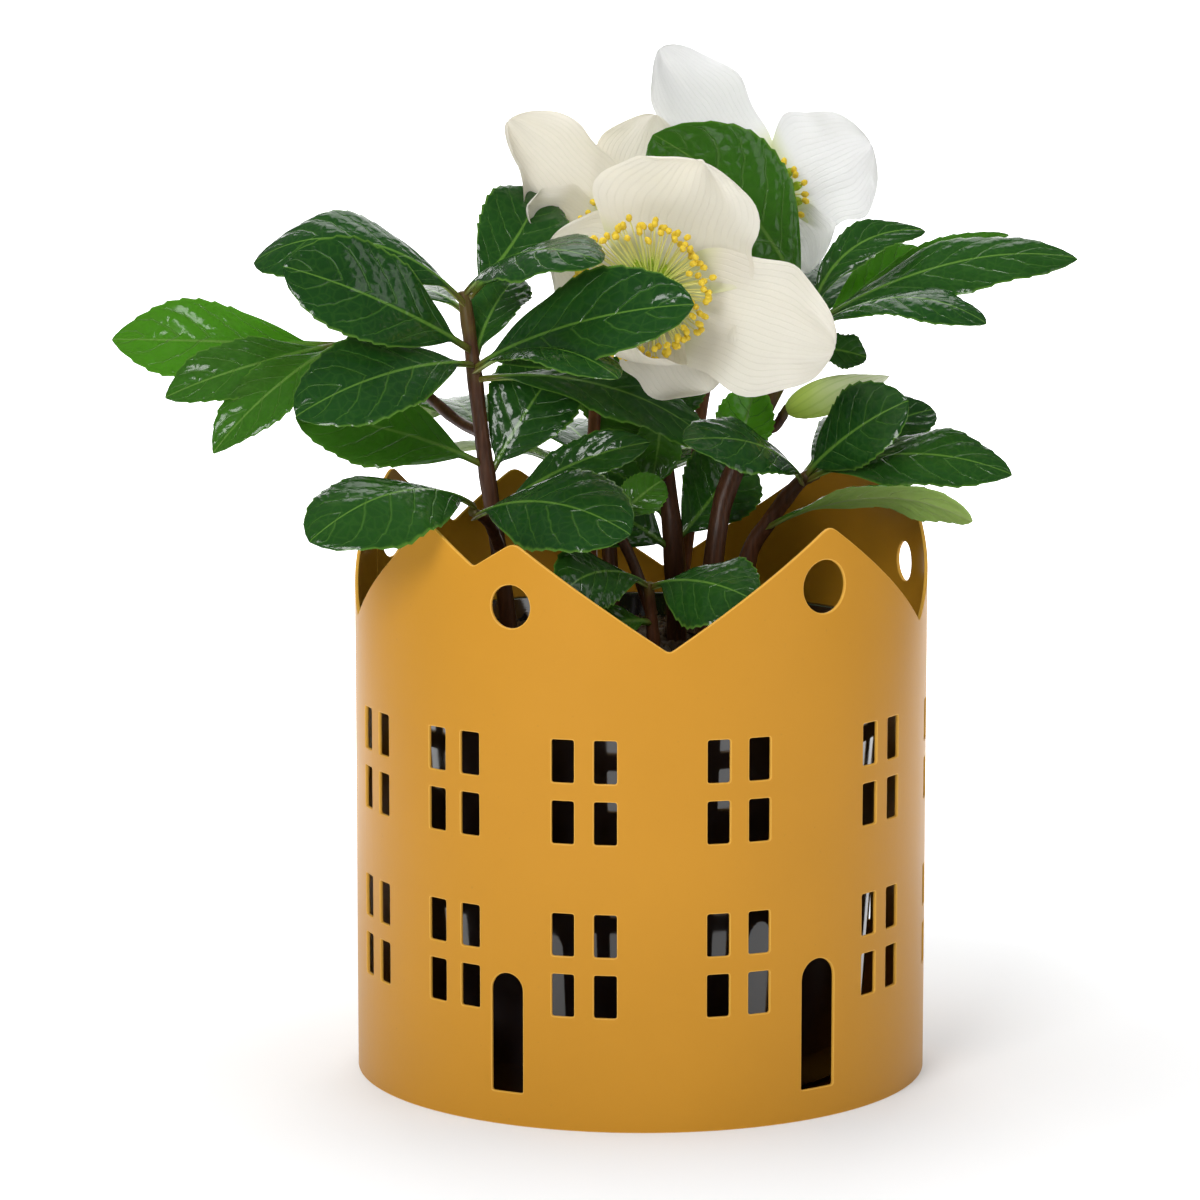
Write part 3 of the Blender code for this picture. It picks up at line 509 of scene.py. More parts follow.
def black_plastic():
    """Glossy black moulded plastic, a little dusty, with faint flow marks round the wall."""
    finish = Finish("black_plastic")
    place = finish.place()
    stretched = finish.node("ShaderNodeMapping", {}, {"Vector": place, "Scale": (1.0, 1.0, 6.0)})
    flow = finish.noise(stretched, 120.0, 3.0)
    dust = finish.ease(finish.noise(place, 60.0, 5.0), 0.45, 0.8)
    inputs = {
        "Base Color": finish.blend(dust * 0.2, (0.010, 0.008, 0.009), (0.05, 0.045, 0.042)),
        "Roughness": 0.06 + dust * 0.1,
        "Specular IOR Level": 1.0,
        "Normal": finish.bump(flow, 0.00005, 0.2),
    }
    return finish.solid(inputs)


def pot_radius(height):
    """Outer radius of the tapered wall at a height above the ground."""
    share = (height - POT_FLOOR) / POT_HEIGHT
    return POT_FOOT_RADIUS + (POT_RIM_RADIUS - POT_LIP - POT_FOOT_RADIUS) * share


def make_nursery_pot():
    rim = POT_FLOOR + POT_HEIGHT
    shoulder = rim - POT_LIP_HEIGHT
    corners = [
        (0.0, POT_FLOOR),
        (POT_FOOT_RADIUS - 4.0, POT_FLOOR),
        (POT_FOOT_RADIUS, POT_FLOOR + 2.0),
        (pot_radius(shoulder), shoulder),
        (POT_RIM_RADIUS - 0.6, shoulder + 0.4),
        (POT_RIM_RADIUS, shoulder + 1.2),
        (POT_RIM_RADIUS - 0.4, rim - 1.2),
        (POT_RIM_RADIUS - 1.2, rim),
        (pot_radius(rim) - POT_WALL, rim),
        (POT_FOOT_RADIUS - POT_WALL, POT_FLOOR + POT_WALL + 1.0),
        (POT_FOOT_RADIUS - 5.0, POT_FLOOR + POT_WALL),
        (0.0, POT_FLOOR + POT_WALL),
    ]
    middle = rounded(corners, POT_CORNER_ROUND, CORNER_STEPS)[CORNER_STEPS:-CORNER_STEPS]
    wall = turned(np.vstack([corners[:1], middle, corners[-1:]]), POT_SIDES)
    pot = add_piece("moulded_pot", wall, black_plastic(), ["nursery_pot"])
    bm = bmesh.new()
    radius = DRAIN_RADIUS * MM
    for k in range(DRAIN_COUNT):
        turn = math.tau * (k + 0.45) / DRAIN_COUNT
        place = Vector((math.sin(turn), -math.cos(turn), 0.0)) * DRAIN_CIRCLE
        at = Matrix.Translation((place + Vector((0.0, 0.0, POT_FLOOR))) * MM)
        bmesh.ops.create_cone(
            bm,
            cap_ends=True,
            segments=24,
            radius1=radius,
            radius2=radius,
            depth=DRAIN_DEPTH * MM,
            matrix=at,
        )
    mesh = bpy.data.meshes.new("drains")
    bm.to_mesh(mesh)
    bm.free()
    cutter = bpy.data.objects.new("drains", mesh)
    bpy.context.scene.collection.objects.link(cutter)
    cut = pot.modifiers.new("drains", "BOOLEAN")
    cut.operation = "DIFFERENCE"
    cut.object = cutter
    bpy.context.view_layer.update()
    holed = bpy.data.meshes.new_from_object(pot.evaluated_get(bpy.context.evaluated_depsgraph_get()))
    pot.modifiers.clear()
    pot.data = holed
    bpy.data.objects.remove(cutter, do_unlink=True)


make_nursery_pot()


# Soil
# Moist peat that fills the pot to just under its rim, a little proud in the middle and crumbly on top.
# Loose crumbs, some of them paler and dried, and a few white grains of perlite lie on it.

SOIL_TOP = 118.0
SOIL_CROWN = 3.0
SOIL_GAP = 0.6
SOIL_EDGE = pot_radius(SOIL_TOP) - POT_WALL - SOIL_GAP
SOIL_RINGS = 70
SOIL_SIDES = 220
CRUMBS = 1100
PERLITE_SHARE = 0.04


def waves(places, seed, finest, count=28):
    """Smooth noise about -1 to 1: plane sine waves of seeded directions, lengths and phases, added up."""
    draw = np.random.default_rng(seed)
    heading = draw.uniform(0.0, math.tau, count)
    number = math.tau / (finest * draw.uniform(1.0, 5.0, count))
    phase = draw.uniform(0.0, math.tau, count)
    x, y = places[..., 0, None], places[..., 1, None]
    total = np.sin((x * np.cos(heading) + y * np.sin(heading)) * number + phase)
    return total.sum(-1) / math.sqrt(count)


def soil_height(places):
    """The crown, a cosine of the distance from the axis, plus lumps and crumbs."""
    out = np.linalg.norm(places[..., :2], axis=-1) / SOIL_EDGE
    crown = SOIL_CROWN * np.cos(np.clip(out, 0.0, 1.0) * math.pi / 2)
    return SOIL_TOP - 0.9 + crown + 0.7 * waves(places, 3, 6.0) + 0.5 * waves(places, 4, 1.6)


def peat():
    """Dark brown peat, paler where a crumb has dried, and white where it is perlite."""
    finish = Finish("peat")
    place = finish.place()
    coarse = finish.noise(place, 240.0, 6.0, 0.65)
    fine = finish.noise(place, 1500.0, 4.0, 0.7)
    dried, perlite, _ = finish.mark("crumb")
    brown = finish.blend(coarse, (0.010, 0.006, 0.004), (0.085, 0.048, 0.026))
    brown = finish.blend(dried * 0.7, brown, (0.16, 0.085, 0.04))
    brown = finish.blend(perlite, brown, (0.72, 0.70, 0.64))
    inputs = {
        "Base Color": brown,
        "Roughness": 0.8 + fine * 0.2,
        "Normal": finish.bump(coarse + fine * 0.5, 0.0008, 0.8),
    }
    return finish.solid(inputs)


def soil_skin():
    """The ball of peat: rings of the lumpy top, then the smooth side and the floor."""
    floor = POT_FLOOR + POT_WALL + 0.3
    rings = np.linspace(0.0, 1.0, SOIL_RINGS) ** 0.8
    turn = np.linspace(0.0, math.tau, SOIL_SIDES, endpoint=False)
    flat = np.stack([rings[:, None] * np.cos(turn), rings[:, None] * np.sin(turn)], axis=-1) * SOIL_EDGE
    top = np.dstack([flat, soil_height(flat)])
    inner = (pot_radius(floor) - POT_WALL - SOIL_GAP) / SOIL_EDGE
    low = np.full((1, SOIL_SIDES), floor)
    foot = np.dstack([flat[-1:] * inner, low])
    middle = np.dstack([flat[-1:] * 0.0, low])
    points = np.vstack([top, foot, middle])
    faces = grid_faces(len(points), SOIL_SIDES, wrap=True)[:, ::-1]
    return Skin(points, [faces], {"crumb": np.zeros_like(points)})


def crumbs_skin():
    """Eight-cornered crumbs: an octahedron for each, its corners drawn in and out at random."""
    draw = np.random.default_rng(8)
    corner = np.array([(1, 0, 0), (0, 1, 0), (-1, 0, 0), (0, -1, 0), (0, 0, 1), (0, 0, -1)], float)
    faces = np.array([(0, 1, 4), (1, 2, 4), (2, 3, 4), (3, 0, 4), (1, 0, 5), (2, 1, 5), (3, 2, 5), (0, 3, 5)])
    turn = draw.uniform(0.0, math.tau, CRUMBS)
    out = np.sqrt(draw.uniform(0.0, 1.0, CRUMBS)) * (SOIL_EDGE - 1.5)
    place = np.stack([np.cos(turn) * out, np.sin(turn) * out, np.zeros(CRUMBS)], axis=-1)
    place[:, 2] = soil_height(place) + 0.2
    size = 0.5 + 1.6 * draw.random(CRUMBS) ** 3
    stretch = draw.uniform(0.6, 1.5, (CRUMBS, 6, 3))
    points = place[:, None] + corner * stretch * size[:, None, None]
    tint = np.zeros((CRUMBS, 6, 3))
    tint[..., 0] = (draw.random(CRUMBS) ** 2)[:, None]
    tint[..., 1] = (draw.random(CRUMBS) < PERLITE_SHARE)[:, None]
    shifts = np.arange(CRUMBS)[:, None, None] * 6
    return Skin(points, [(faces + shifts).reshape(-1, 3)], {"crumb": tint})


PEAT = peat()
add_piece("peat_ball", soil_skin(), PEAT, ["soil"])
add_piece("peat_crumbs", crumbs_skin(), PEAT)


# Stems of the leaves
# Six thick red-brown stems rise from the crown, finely ribbed, swollen at a few seeded knots, and greener
# towards the top. The left one carries a long side stalk, the short front one a side shoot.

Stem = namedtuple("Stem", "name path radii twigs")
STEMS = (
    Stem(
        "left",
        ((-36, -12, 119), (-39, -12, 145), (-43, -11, 172), (-46, -9, 196), (-49, -7, 219)),
        (2.6, 1.8),
        (
            (((-44, -9, 180), (-52, 0, 183), (-67, 4, 195), (-84, -6, 204)), (1.7, 1.2)),
            (((-39, -12, 148), (-42, -22, 157), (-46, -31, 161)), (1.7, 1.3)),
        ),
    ),
    Stem(
        "centre",
        ((10, 4, 119), (9, 5, 148), (6, 10, 174), (4, 9, 192), (4, -1, 208), (3, -9, 217)),
        (3.0, 1.9),
        (),
    ),
    Stem(
        "right",
        ((18, -5, 119), (21, -4, 150), (25, 0, 166), (36, 3, 188), (48, 7, 210)),
        (3.4, 1.9),
        (
            (((33, 2, 182), (37, 4, 180), (41, 4, 186)), (1.5, 1.3)),
        ),
    ),
    Stem(
        "low",
        ((27, 6, 119), (30, 5, 143), (36, 3, 154), (44, 0, 165), (49, -1, 168)),
        (3.0, 1.7),
        (),
    ),
    Stem(
        "front",
        ((4, -40, 119), (3, -41, 132), (2, -42, 143)),
        (2.0, 1.4),
        (
            (((3, -41, 134), (-3, -38, 150), (-9, -36, 160)), (1.7, 1.2)),
        ),
    ),
    Stem(
        "back",
        ((-8, 36, 119), (-9, 38, 140), (-10, 42, 158)),
        (2.6, 1.9),
        (),
    ),
)
STEM_INTO_SOIL = 6.0
SPAN_STATIONS = 8
ROD_SIDES = 14
RIBS_ROUND = 7
ROD_RIBS = 0.06
KNOTS = 4
KNOT_SWELL = 0.12
KNOT_REACH = 0.025
ROD_DOME = 0.3
STEM_HEIGHT = 220.0


def smooth_path(points):
    """A Catmull-Rom curve through the points, its ends mirrored outwards."""
    knots = np.array(points, float)
    ends = np.vstack([2 * knots[0] - knots[1], knots, 2 * knots[-1] - knots[-2]])
    before, start, end, after = ends[:-3, None], ends[1:-2, None], ends[2:-1, None], ends[3:, None]
    t = np.linspace(0.0, 1.0, SPAN_STATIONS, endpoint=False)[None, :, None]
    square = 2 * before - 5 * start + 4 * end - after
    cube = 3 * start - before - 3 * end + after
    spans = 0.5 * (2 * start + (end - before) * t + square * t**2 + cube * t**3)
    return np.vstack([spans.reshape(-1, 3), knots[-1:]])


def frames_along(path):
    """Unit tangent and two unit vectors square to it at every point of a path."""
    tangent = np.gradient(path, axis=0)
    tangent /= np.linalg.norm(tangent, axis=1, keepdims=True)
    side = np.array([0.12, -0.97, 0.21])
    first = np.cross(tangent, side)
    first /= np.linalg.norm(first, axis=1, keepdims=True)
    return tangent, first, np.cross(tangent, first)


def rod(points, radii, seed, ribs=ROD_RIBS):
    """A ribbed round rod along a smooth path, closed at both ends by a small dome.

    The ring's radius is the tapering radius times 1 + ribs * cos(7 angle + a slow drift) plus seeded knots,
    each a bell curve along the rod.
    """
    path = smooth_path(points)
    tangent, first, second = frames_along(path)
    share = np.linspace(0.0, 1.0, len(path))
    angle = np.linspace(0.0, math.tau, ROD_SIDES, endpoint=False)
    radius = np.interp(share, [0.0, 1.0], radii)[:, None]
    draw = np.random.default_rng(seed + 50)
    from_knot = (share[:, None] - draw.uniform(0.1, 0.95, KNOTS)) / KNOT_REACH
    knots = np.exp(-(from_knot**2)).sum(1)[:, None]
    radius = radius * (1 + ribs * np.cos(RIBS_ROUND * angle + 5 * share[:, None]) + KNOT_SWELL * knots)
    ring = first[:, None] * np.cos(angle)[:, None] + second[:, None] * np.sin(angle)[:, None]
    body = path[:, None] + ring * radius[..., None]
    starts = path[:1, None] - tangent[:1, None] * ROD_DOME
    ends = path[-1:, None] + tangent[-1:, None] * ROD_DOME
    start_ring = starts + (body[:1] - path[:1, None]) * 0.6
    end_ring = ends + (body[-1:] - path[-1:, None]) * 0.6
    rows = np.vstack([starts + 0 * body[:1], start_ring, body, end_ring, ends + 0 * body[:1]])
    long = np.concatenate([[0.0, 0.0], share, [1.0, 1.0]])
    up = rows[..., 2] / STEM_HEIGHT
    marks = np.stack(np.broadcast_arrays(long[:, None], angle / math.tau, up), axis=-1)
    return Skin(rows, [grid_faces(len(rows), ROD_SIDES, wrap=True)], {"stem": marks})


def stem_bark(name, low, high, top_share):
    """Smooth red-brown skin with long fibres, turning green towards the top."""
    finish = Finish(name)
    place = finish.place()
    along, _, _ = finish.mark("stem")
    long_fibres = finish.node("ShaderNodeMapping", {}, {"Vector": place, "Scale": (1.0, 1.0, 0.12)})
    fibres = finish.noise(long_fibres, 900.0, 3.0, 0.6)
    patches = finish.noise(place, 90.0, 4.0)
    red = finish.blend(finish.ease(fibres, 0.3, 0.7), low, tuple(1.9 * c for c in low))
    green = finish.ease(along + (patches - 0.5) * 0.7, top_share, top_share + 0.5)
    colour = finish.blend(green, red, high)
    inputs = {
        "Base Color": colour,
        "Roughness": 0.3 + fibres * 0.2,
        "Specular IOR Level": 0.3,
        "Normal": finish.bump(fibres + patches * 0.5, 0.0003, 0.5),
    }
    return finish.solid(inputs)


BARK = stem_bark("stem_bark", (0.042, 0.015, 0.006), (0.13, 0.12, 0.02), 0.75)


def make_leaf_stem(stem, seed):
    foot = np.array(stem.path[0], float) - (0, 0, STEM_INTO_SOIL)
    skins = [rod([foot, *stem.path], stem.radii, seed)]
    skins += [rod(path, radii, seed + 20 + k) for k, (path, radii) in enumerate(stem.twigs)]
    add_piece(stem.name + "_stem", joined(skins), BARK)


for number, stem in enumerate(STEMS):
    make_leaf_stem(stem, number)


# Leaflets
# Thick leathery leaflets in fans: dark and glossy above with a sunken rib and side veins, puckered between
# them, toothed towards the tip with a pale thin edge, and matt pale green below.

# root and tip are places. lean turns the upper face from straight up towards the front, and side turns it
# towards +X. arch lifts the rib by a share of the length, and bow bends it sideways by another. fold raises
# each half, twist turns the blade on the way to its tip, and droop bends the tip down, all in degrees. young
# runs from 0, old and dark, to 1, pale and thin enough for light to pass. point runs from 0, a round tip, to
# 1, a drawn-out one.
LEAF_FIELDS = "root tip width lean side arch fold twist young droop point bow"
Leaf = namedtuple("Leaf", LEAF_FIELDS, defaults=(0, 0.0, 12.0, 0.0, 0.0))
LEAVES = {
    "left": (
        Leaf((-48, -8, 215), (-108, -16, 231), 31, 34, 0, 0.2, -14, 0, 0, 20),
        Leaf((-47, -10, 203), (-96, -36, 229), 28, 62, 0, 0.08, 8),
        Leaf((-46, -10, 199), (-93, -46, 190), 28, 48, 0, 0.12, 6),
        Leaf((-43, -11, 171), (-95, -18, 186), 25, 56, 0, 0.06, 6, 0, 0.35, 6, 0.7, 0.04),
        Leaf((-45, -30, 162), (-88, -72, 160), 34, 34, -4, 0.16, -16),
        Leaf((-46, -30, 159), (-3, -66, 161), 31, 48, 12, 0.12, -6),
        Leaf((-42, -11, 168), (-21, -2, 201), 26, 74, -12, 0.06, 10),
        Leaf((-48, -8, 217), (-28, 14, 247), 25, 72, -6, 0.08, 10, 0, 0, 20, 0, 0.06),
        Leaf((-49, -7, 218), (-11, -45, 232), 26, 27, 0, 0.12, -10),
        Leaf((-46, -10, 198), (13, -54, 221), 28, 58, 8, 0.1, 6),
        Leaf((-46, -11, 197), (-6, -62, 203), 20, 12, 0, 0.1, -10),
        Leaf((-46, -9, 200), (-35, 10, 222), 18, 62, -20, 0.08, 8),
        Leaf((-46, -10, 195), (22, -14, 178), 20, 34, 0, 0.12, -6),
        Leaf((-40, -12, 158), (2, -24, 180), 13, 58, 0, 0.1, 8),
        Leaf((-84, -6, 204), (-147, -5, 206), 24, 58, 0, 0.08, 4, 0, 0.75, 6, 1, -0.05),
        Leaf((-84, -6, 204), (-131, -22, 192), 19, 50, 0, 0.12, 6, 0, 0.35, 12, 0.8, -0.05),
        Leaf((-83, -6, 204), (-117, -34, 178), 18, 50, -10, 0.14, 6, 0, 0.5, 12, 1, -0.06),
        Leaf((-47, -8, 212), (-82, 42, 207), 25, -10, -16, 0.14, 4),
        Leaf((-43, -9, 175), (-62, 46, 180), 25, -16, -6, 0.14, 4, 0, 0.3),
    ),
    "centre": (
        Leaf((5, 11, 172), (-17, 25, 195), 20, 62, 0, 0.06, 10, 0, 0.4),
        Leaf((5, 10, 184), (3, -8, 166), 13, 50, 10, 0.18, 8, 0, 0.3),
        Leaf((6, 9, 178), (-24, 58, 188), 24, -20, 0, 0.14, 4),
        Leaf((4, 8, 190), (-2, 62, 208), 24, -14, 0, 0.14, 4, 0, 0.3),
        Leaf((7, 9, 169), (-11, 16, 198), 24, 74, -6, 0.08, 8, 0, 0.3),
        Leaf((6, 10, 175), (9, 16, 198), 19, 78, 6, 0.08, 8, 0, 0.1),
        Leaf((8, 6, 152), (-6, 22, 180), 24, 72, -8, 0.1, 8, 0, 0.2),
        Leaf((9, 5, 147), (29, 20, 172), 23, 70, 10, 0.1, 8, 0, 0.15),
        Leaf((9, 5, 145), (-22, 4, 162), 21, 60, -8, 0.12, 8, 0, 0.1),
    ),
    "right": (
        Leaf((47, 6, 210), (4, -4, 262), 34, 78, 12, -0.04, 4, 0, 0.5, 12, 0, 0.11),
        Leaf((47, 6, 208), (79, 8, 236), 13, 34, 10, 0.16, 6, 0, 0, 12, 0.3, -0.14),
        Leaf((47, 7, 207), (80, 30, 229), 17, 60, 0, 0.1, 8, 0, 0.75, 12, 0.5, 0.04),
        Leaf((47, 7, 208), (104, 22, 234), 10, 58, 0, 0.08, 10, 0, 0.5, 12, 1),
        Leaf((46, 7, 207), (121, 0, 230), 22, 34, 0, 0.1, -8, 0, 0, 12, 0.8),
        Leaf((46, 6, 205), (94, -26, 214), 19, 20, 0, 0.14, -10),
        Leaf((44, 6, 202), (63, 4, 200), 11, 50, 0, 0.1, 6),
        Leaf((26, 0, 168), (32, -5, 194), 16, 82, -6, 0.06, 24, 0, 0.9, 6, 1),
        Leaf((44, 6, 202), (62, 60, 220), 24, -14, 10, 0.16, 4),
    ),
    "low": (
        Leaf((46, 0, 166), (83, 16, 185), 17, 50, 0, 0.12, 6),
        Leaf((46, -1, 167), (72, -24, 191), 23, 58, 0, 0.06, 8),
        Leaf((46, -1, 166), (101, -31, 173), 23, 36, 0, 0.12, -8, 0, 0, 12, 0.5),
        Leaf((35, 2, 152), (90, -38, 162), 19, 16, 0, 0.1, -6, 72, 0.5),
        Leaf((45, -2, 165), (12, -40, 183), 21, 48, -12, 0.12, -8),
        Leaf((44, 1, 165), (78, 52, 172), 25, -12, 12, 0.14, 4),
    ),
    "front": (
        Leaf((3, -42, 142), (30, -68, 143), 26, 52, 12, 0.1, -14),
        Leaf((2, -42, 142), (-22, -64, 144), 19, 20, -10, 0.14, -12, 70, 0.1),
        Leaf((3, -41, 132), (-22, -58, 130), 14, 62, -20, 0.1, 8, 0, 0.5),
        Leaf((-7, -37, 157), (-24, -32, 164), 12, 50, -10, 0.1, 6, 0, 0.6),
        Leaf((-8, -36, 158), (6, -30, 170), 12, 50, 10, 0.1, 6, 0, 0.6),
    ),
    "back": (
        Leaf((-10, 41, 154), (-62, 66, 166), 26, -14, -14, 0.14, 4),
        Leaf((-10, 42, 157), (-34, 92, 172), 27, -18, -4, 0.14, 4),
        Leaf((-10, 41, 153), (12, 90, 164), 27, -18, 4, 0.14, 4),
        Leaf((-10, 41, 150), (44, 74, 162), 26, -14, 12, 0.14, 4),
        Leaf((-9, 39, 142), (-46, 42, 150), 22, 8, -14, 0.12, 4, 0, 0.3),
    ),
}
LEAF_THICKNESS = 0.55
RIB_REACH = 0.9
LEAF_COLUMNS = 21
LEAF_STALK_SHARE = 0.12
FIRST_TOOTH = 0.42
TEETH = 8
TOOTH = 0.6
VEIN_PAIRS = 7.0
VEINS_OUT_OF_STEP = 0.45
GROOVE = 0.45
GROOVE_REACH = 1.1
PUCKER = 0.75
LEAF_EDGE_WAVE = 0.9
LEAF_EDGE_CURL = 0.10
LEAF_SWAY = 0.02
UNLIKE_BOW = 0.02
UNLIKE_AGE = 0.08


def blade_points(root, tip, upper, arch, twist, u, across_by, lift, curl=0.0):
    """Points of a blade's middle surface and the direction its upper side faces.

    u runs from root to tip in rows, and a blade's points lie across_by out along the width and lift above
    the rib. The rib is the chord plus arch * length * 4u(1-u) towards the upper side, walked step by step so
    that curl, in degrees for each row, can bend it further up. The width turns by twist on the way.
    """
    root, chord = np.array(root, float), np.array(tip, float) - np.array(root, float)
    length = np.linalg.norm(chord)
    along = chord / length
    normal = np.array(upper, float) - along * np.dot(upper, along)
    normal /= np.linalg.norm(normal)
    across = np.cross(along, normal)
    slope = arch * 4.0 * (1.0 - 2.0 * u)
    bend = (np.arctan(slope) + np.radians(curl))[:, None]
    tangent = along * np.cos(bend) + normal * np.sin(bend)
    pace = tangent * (np.sqrt(1.0 + slope**2) * length)[:, None]
    steps = (pace[1:] + pace[:-1]) / 2 * np.diff(u)[:, None]
    middle = root + np.vstack([np.zeros(3), np.cumsum(steps, axis=0)])
    rise = np.cross(across, tangent)
    turn = np.radians(twist) * u[:, None]
    width_axis = across * np.cos(turn) + rise * np.sin(turn)
    lift_axis = np.cross(width_axis, tangent)
    sideways = width_axis[:, None] * across_by[..., None]
    upwards = lift_axis[:, None] * lift[..., None]
    points = middle[:, None] + sideways + upwards
    return points, np.broadcast_to(lift_axis[:, None], points.shape)


def rolled_section(half, v, angle):
    """Places across and above the rib for a cross-section that leaves the flat by angle, in radians.

    They are the running sums of cos and sin of the angle, out from the rib on both sides.
    """
    middle = v.shape[1] // 2
    step = np.diff(v) * (half[:, 1:] + half[:, :-1]) / 2

    def summed(rate):
        strips = (rate[:, 1:] + rate[:, :-1]) / 2 * step
        total = np.cumsum(np.hstack([np.zeros((len(half), 1)), strips]), axis=1)
        return total - total[:, middle : middle + 1]

    return summed(np.cos(angle)), summed(np.sin(angle))


def blade_skin(points, facing, thickness, marks):
    """A closed blade: an upper and a lower surface about the points, sharing the points of the rim.

    The mark named blade gets its second number here: 1 above, 0 below and a half on the rim.
    """
    rows, columns = points.shape[:2]
    rim = np.zeros((rows, columns), bool)
    rim[[0, -1]] = rim[:, [0, -1]] = True
    depth = (np.where(rim, 0.0, thickness) / 2)[..., None]
    upper, lower = points + facing * depth, points - facing * depth
    count = rows * columns
    below = np.where(rim.ravel(), np.arange(count), np.arange(count) + count)
    cells = grid_faces(rows, columns)
    used = np.concatenate([np.arange(count), np.arange(count)[~rim.ravel()] + count])
    number = np.zeros(2 * count, int)
    number[used] = np.arange(len(used))
    faces = [cells, number[below[cells[:, ::-1]]]]
    both = {}
    for name, mark in marks.items():
        above, under = mark.copy(), mark.copy()
        if name == "blade":
            above[..., 1], under[..., 1] = np.where(rim, 0.5, 1.0), 0.0
        both[name] = np.vstack([above.reshape(-1, 3), under.reshape(-1, 3)])[used]
    return Skin(np.vstack([upper.reshape(-1, 3), lower.reshape(-1, 3)])[used], faces, both)


def leaf_stations():
    """Places along a leaflet, with three to a tooth, and how far each stands in its tooth."""
    plain = np.linspace(0.0, FIRST_TOOTH, 18)
    step = (0.97 - FIRST_TOOTH) / TEETH
    saw = FIRST_TOOTH + step * (np.arange(TEETH)[:, None] + np.array([0.4, 0.8, 1.0]))
    u = np.concatenate([plain, saw.ravel(), [0.985, 1.0]])
    tooth = np.concatenate([0 * plain, np.tile([0.4, 1.0, 0.0], TEETH), [0.0, 0.0]])
    return u, tooth


def leaf_skin(leaf, seed):
    """One leaflet.

    Half the width is sin(pi s^1.35)^0.6 of the full one, s being the way past the stalk, plus the teeth. A
    pointed leaflet has a lower first power there and a higher second one.
    The height over the rib is the fold times the distance out, less a groove on the rib, plus a swelling
    (sin(pi phase))^2 between side veins, plus a wave along the edge. phase counts the side veins: it grows
    with u and falls with the distance out, so that veins bend towards the tip.
    """
    draw = np.random.default_rng(seed)
    u, tooth = leaf_stations()
    v = np.linspace(-1.0, 1.0, LEAF_COLUMNS)[None]
    out = np.abs(v)
    past_stalk = np.clip((u - LEAF_STALK_SHARE) / (1 - LEAF_STALK_SHARE), 0.0, 1.0)
    swell = np.sin(math.pi * past_stalk ** (1.35 - 0.15 * leaf.point)) ** (0.6 + 0.18 * leaf.point)
    half = np.maximum(leaf.width / 2 * swell, np.where(u < 0.3, 1.0, 0.25))
    half = half + TOOTH * tooth * np.minimum(half / 8.0, 1.0)
    step = half[:, None] * v
    bent_back = u[:, None] - 0.20 * out - 0.10 * out**3
    phase = bent_back * VEIN_PAIRS + np.where(v > 0, VEINS_OUT_OF_STEP, 0.0) + draw.random()
    body = (swell * (u > LEAF_STALK_SHARE))[:, None]
    fold = math.tan(math.radians(leaf.fold))
    crease = fold * half[:, None] * (np.sqrt(v**2 + 0.02) - math.sqrt(0.02))
    groove = -GROOVE * np.exp(-((step / GROOVE_REACH) ** 2)) * body
    pucker = PUCKER * np.sin(math.pi * phase) ** 2 * body * out**0.7 * (1 - out**4)
    beat = draw.uniform(1.5, 3.0, 2)
    shift = draw.uniform(0.0, math.tau, 4)
    one_edge = np.sin(math.tau * beat[0] * u + shift[0])[:, None] * (v > 0)
    other_edge = np.sin(math.tau * beat[1] * u + shift[1])[:, None] * (v < 0)
    edge = (one_edge + other_edge) * out**3 * LEAF_EDGE_WAVE * body
    sway = np.sin(5.0 * u + shift[2])[:, None] * v + np.sin(4.0 * u + shift[3])[:, None] * v**2
    curl = -LEAF_EDGE_CURL * half[:, None] * np.maximum(out - 0.6, 0.0) ** 2 * body
    lift = crease + groove + pucker + edge + leaf.width * LEAF_SWAY * sway * body + curl
    lean, side = math.radians(leaf.lean), math.radians(leaf.side)
    upper = (math.sin(side), -math.sin(lean), math.cos(lean) * math.cos(side))
    droop = -leaf.droop * np.clip((u - 0.55) / 0.45, 0.0, 1.0) ** 1.5
    length = math.dist(leaf.root, leaf.tip)
    bow = leaf.bow + draw.uniform(-UNLIKE_BOW, UNLIKE_BOW)
    bowed = step + (bow * length * 4 * u * (1 - u))[:, None]
    points, facing = blade_points(leaf.root, leaf.tip, upper, leaf.arch, leaf.twist, u, bowed, lift, droop)
    rib = np.exp(-((step / RIB_REACH) ** 2)) * np.clip(1.2 - u, 0.2, 1.0)[:, None]
    thickness = LEAF_THICKNESS * (1.0 + 2.0 * rib)
    tone = np.clip(leaf.young + draw.uniform(-UNLIKE_AGE, UNLIKE_AGE), 0.0, 1.0)
    leaf_mark = np.stack(np.broadcast_arrays(phase, step, u[:, None] + 0 * v), axis=-1)
    blade_mark = np.stack(np.broadcast_arrays(out + 0 * step, 0 * step, tone + 0 * step), axis=-1)
    return blade_skin(points, facing, thickness, {"leaf": leaf_mark, "blade": blade_mark})


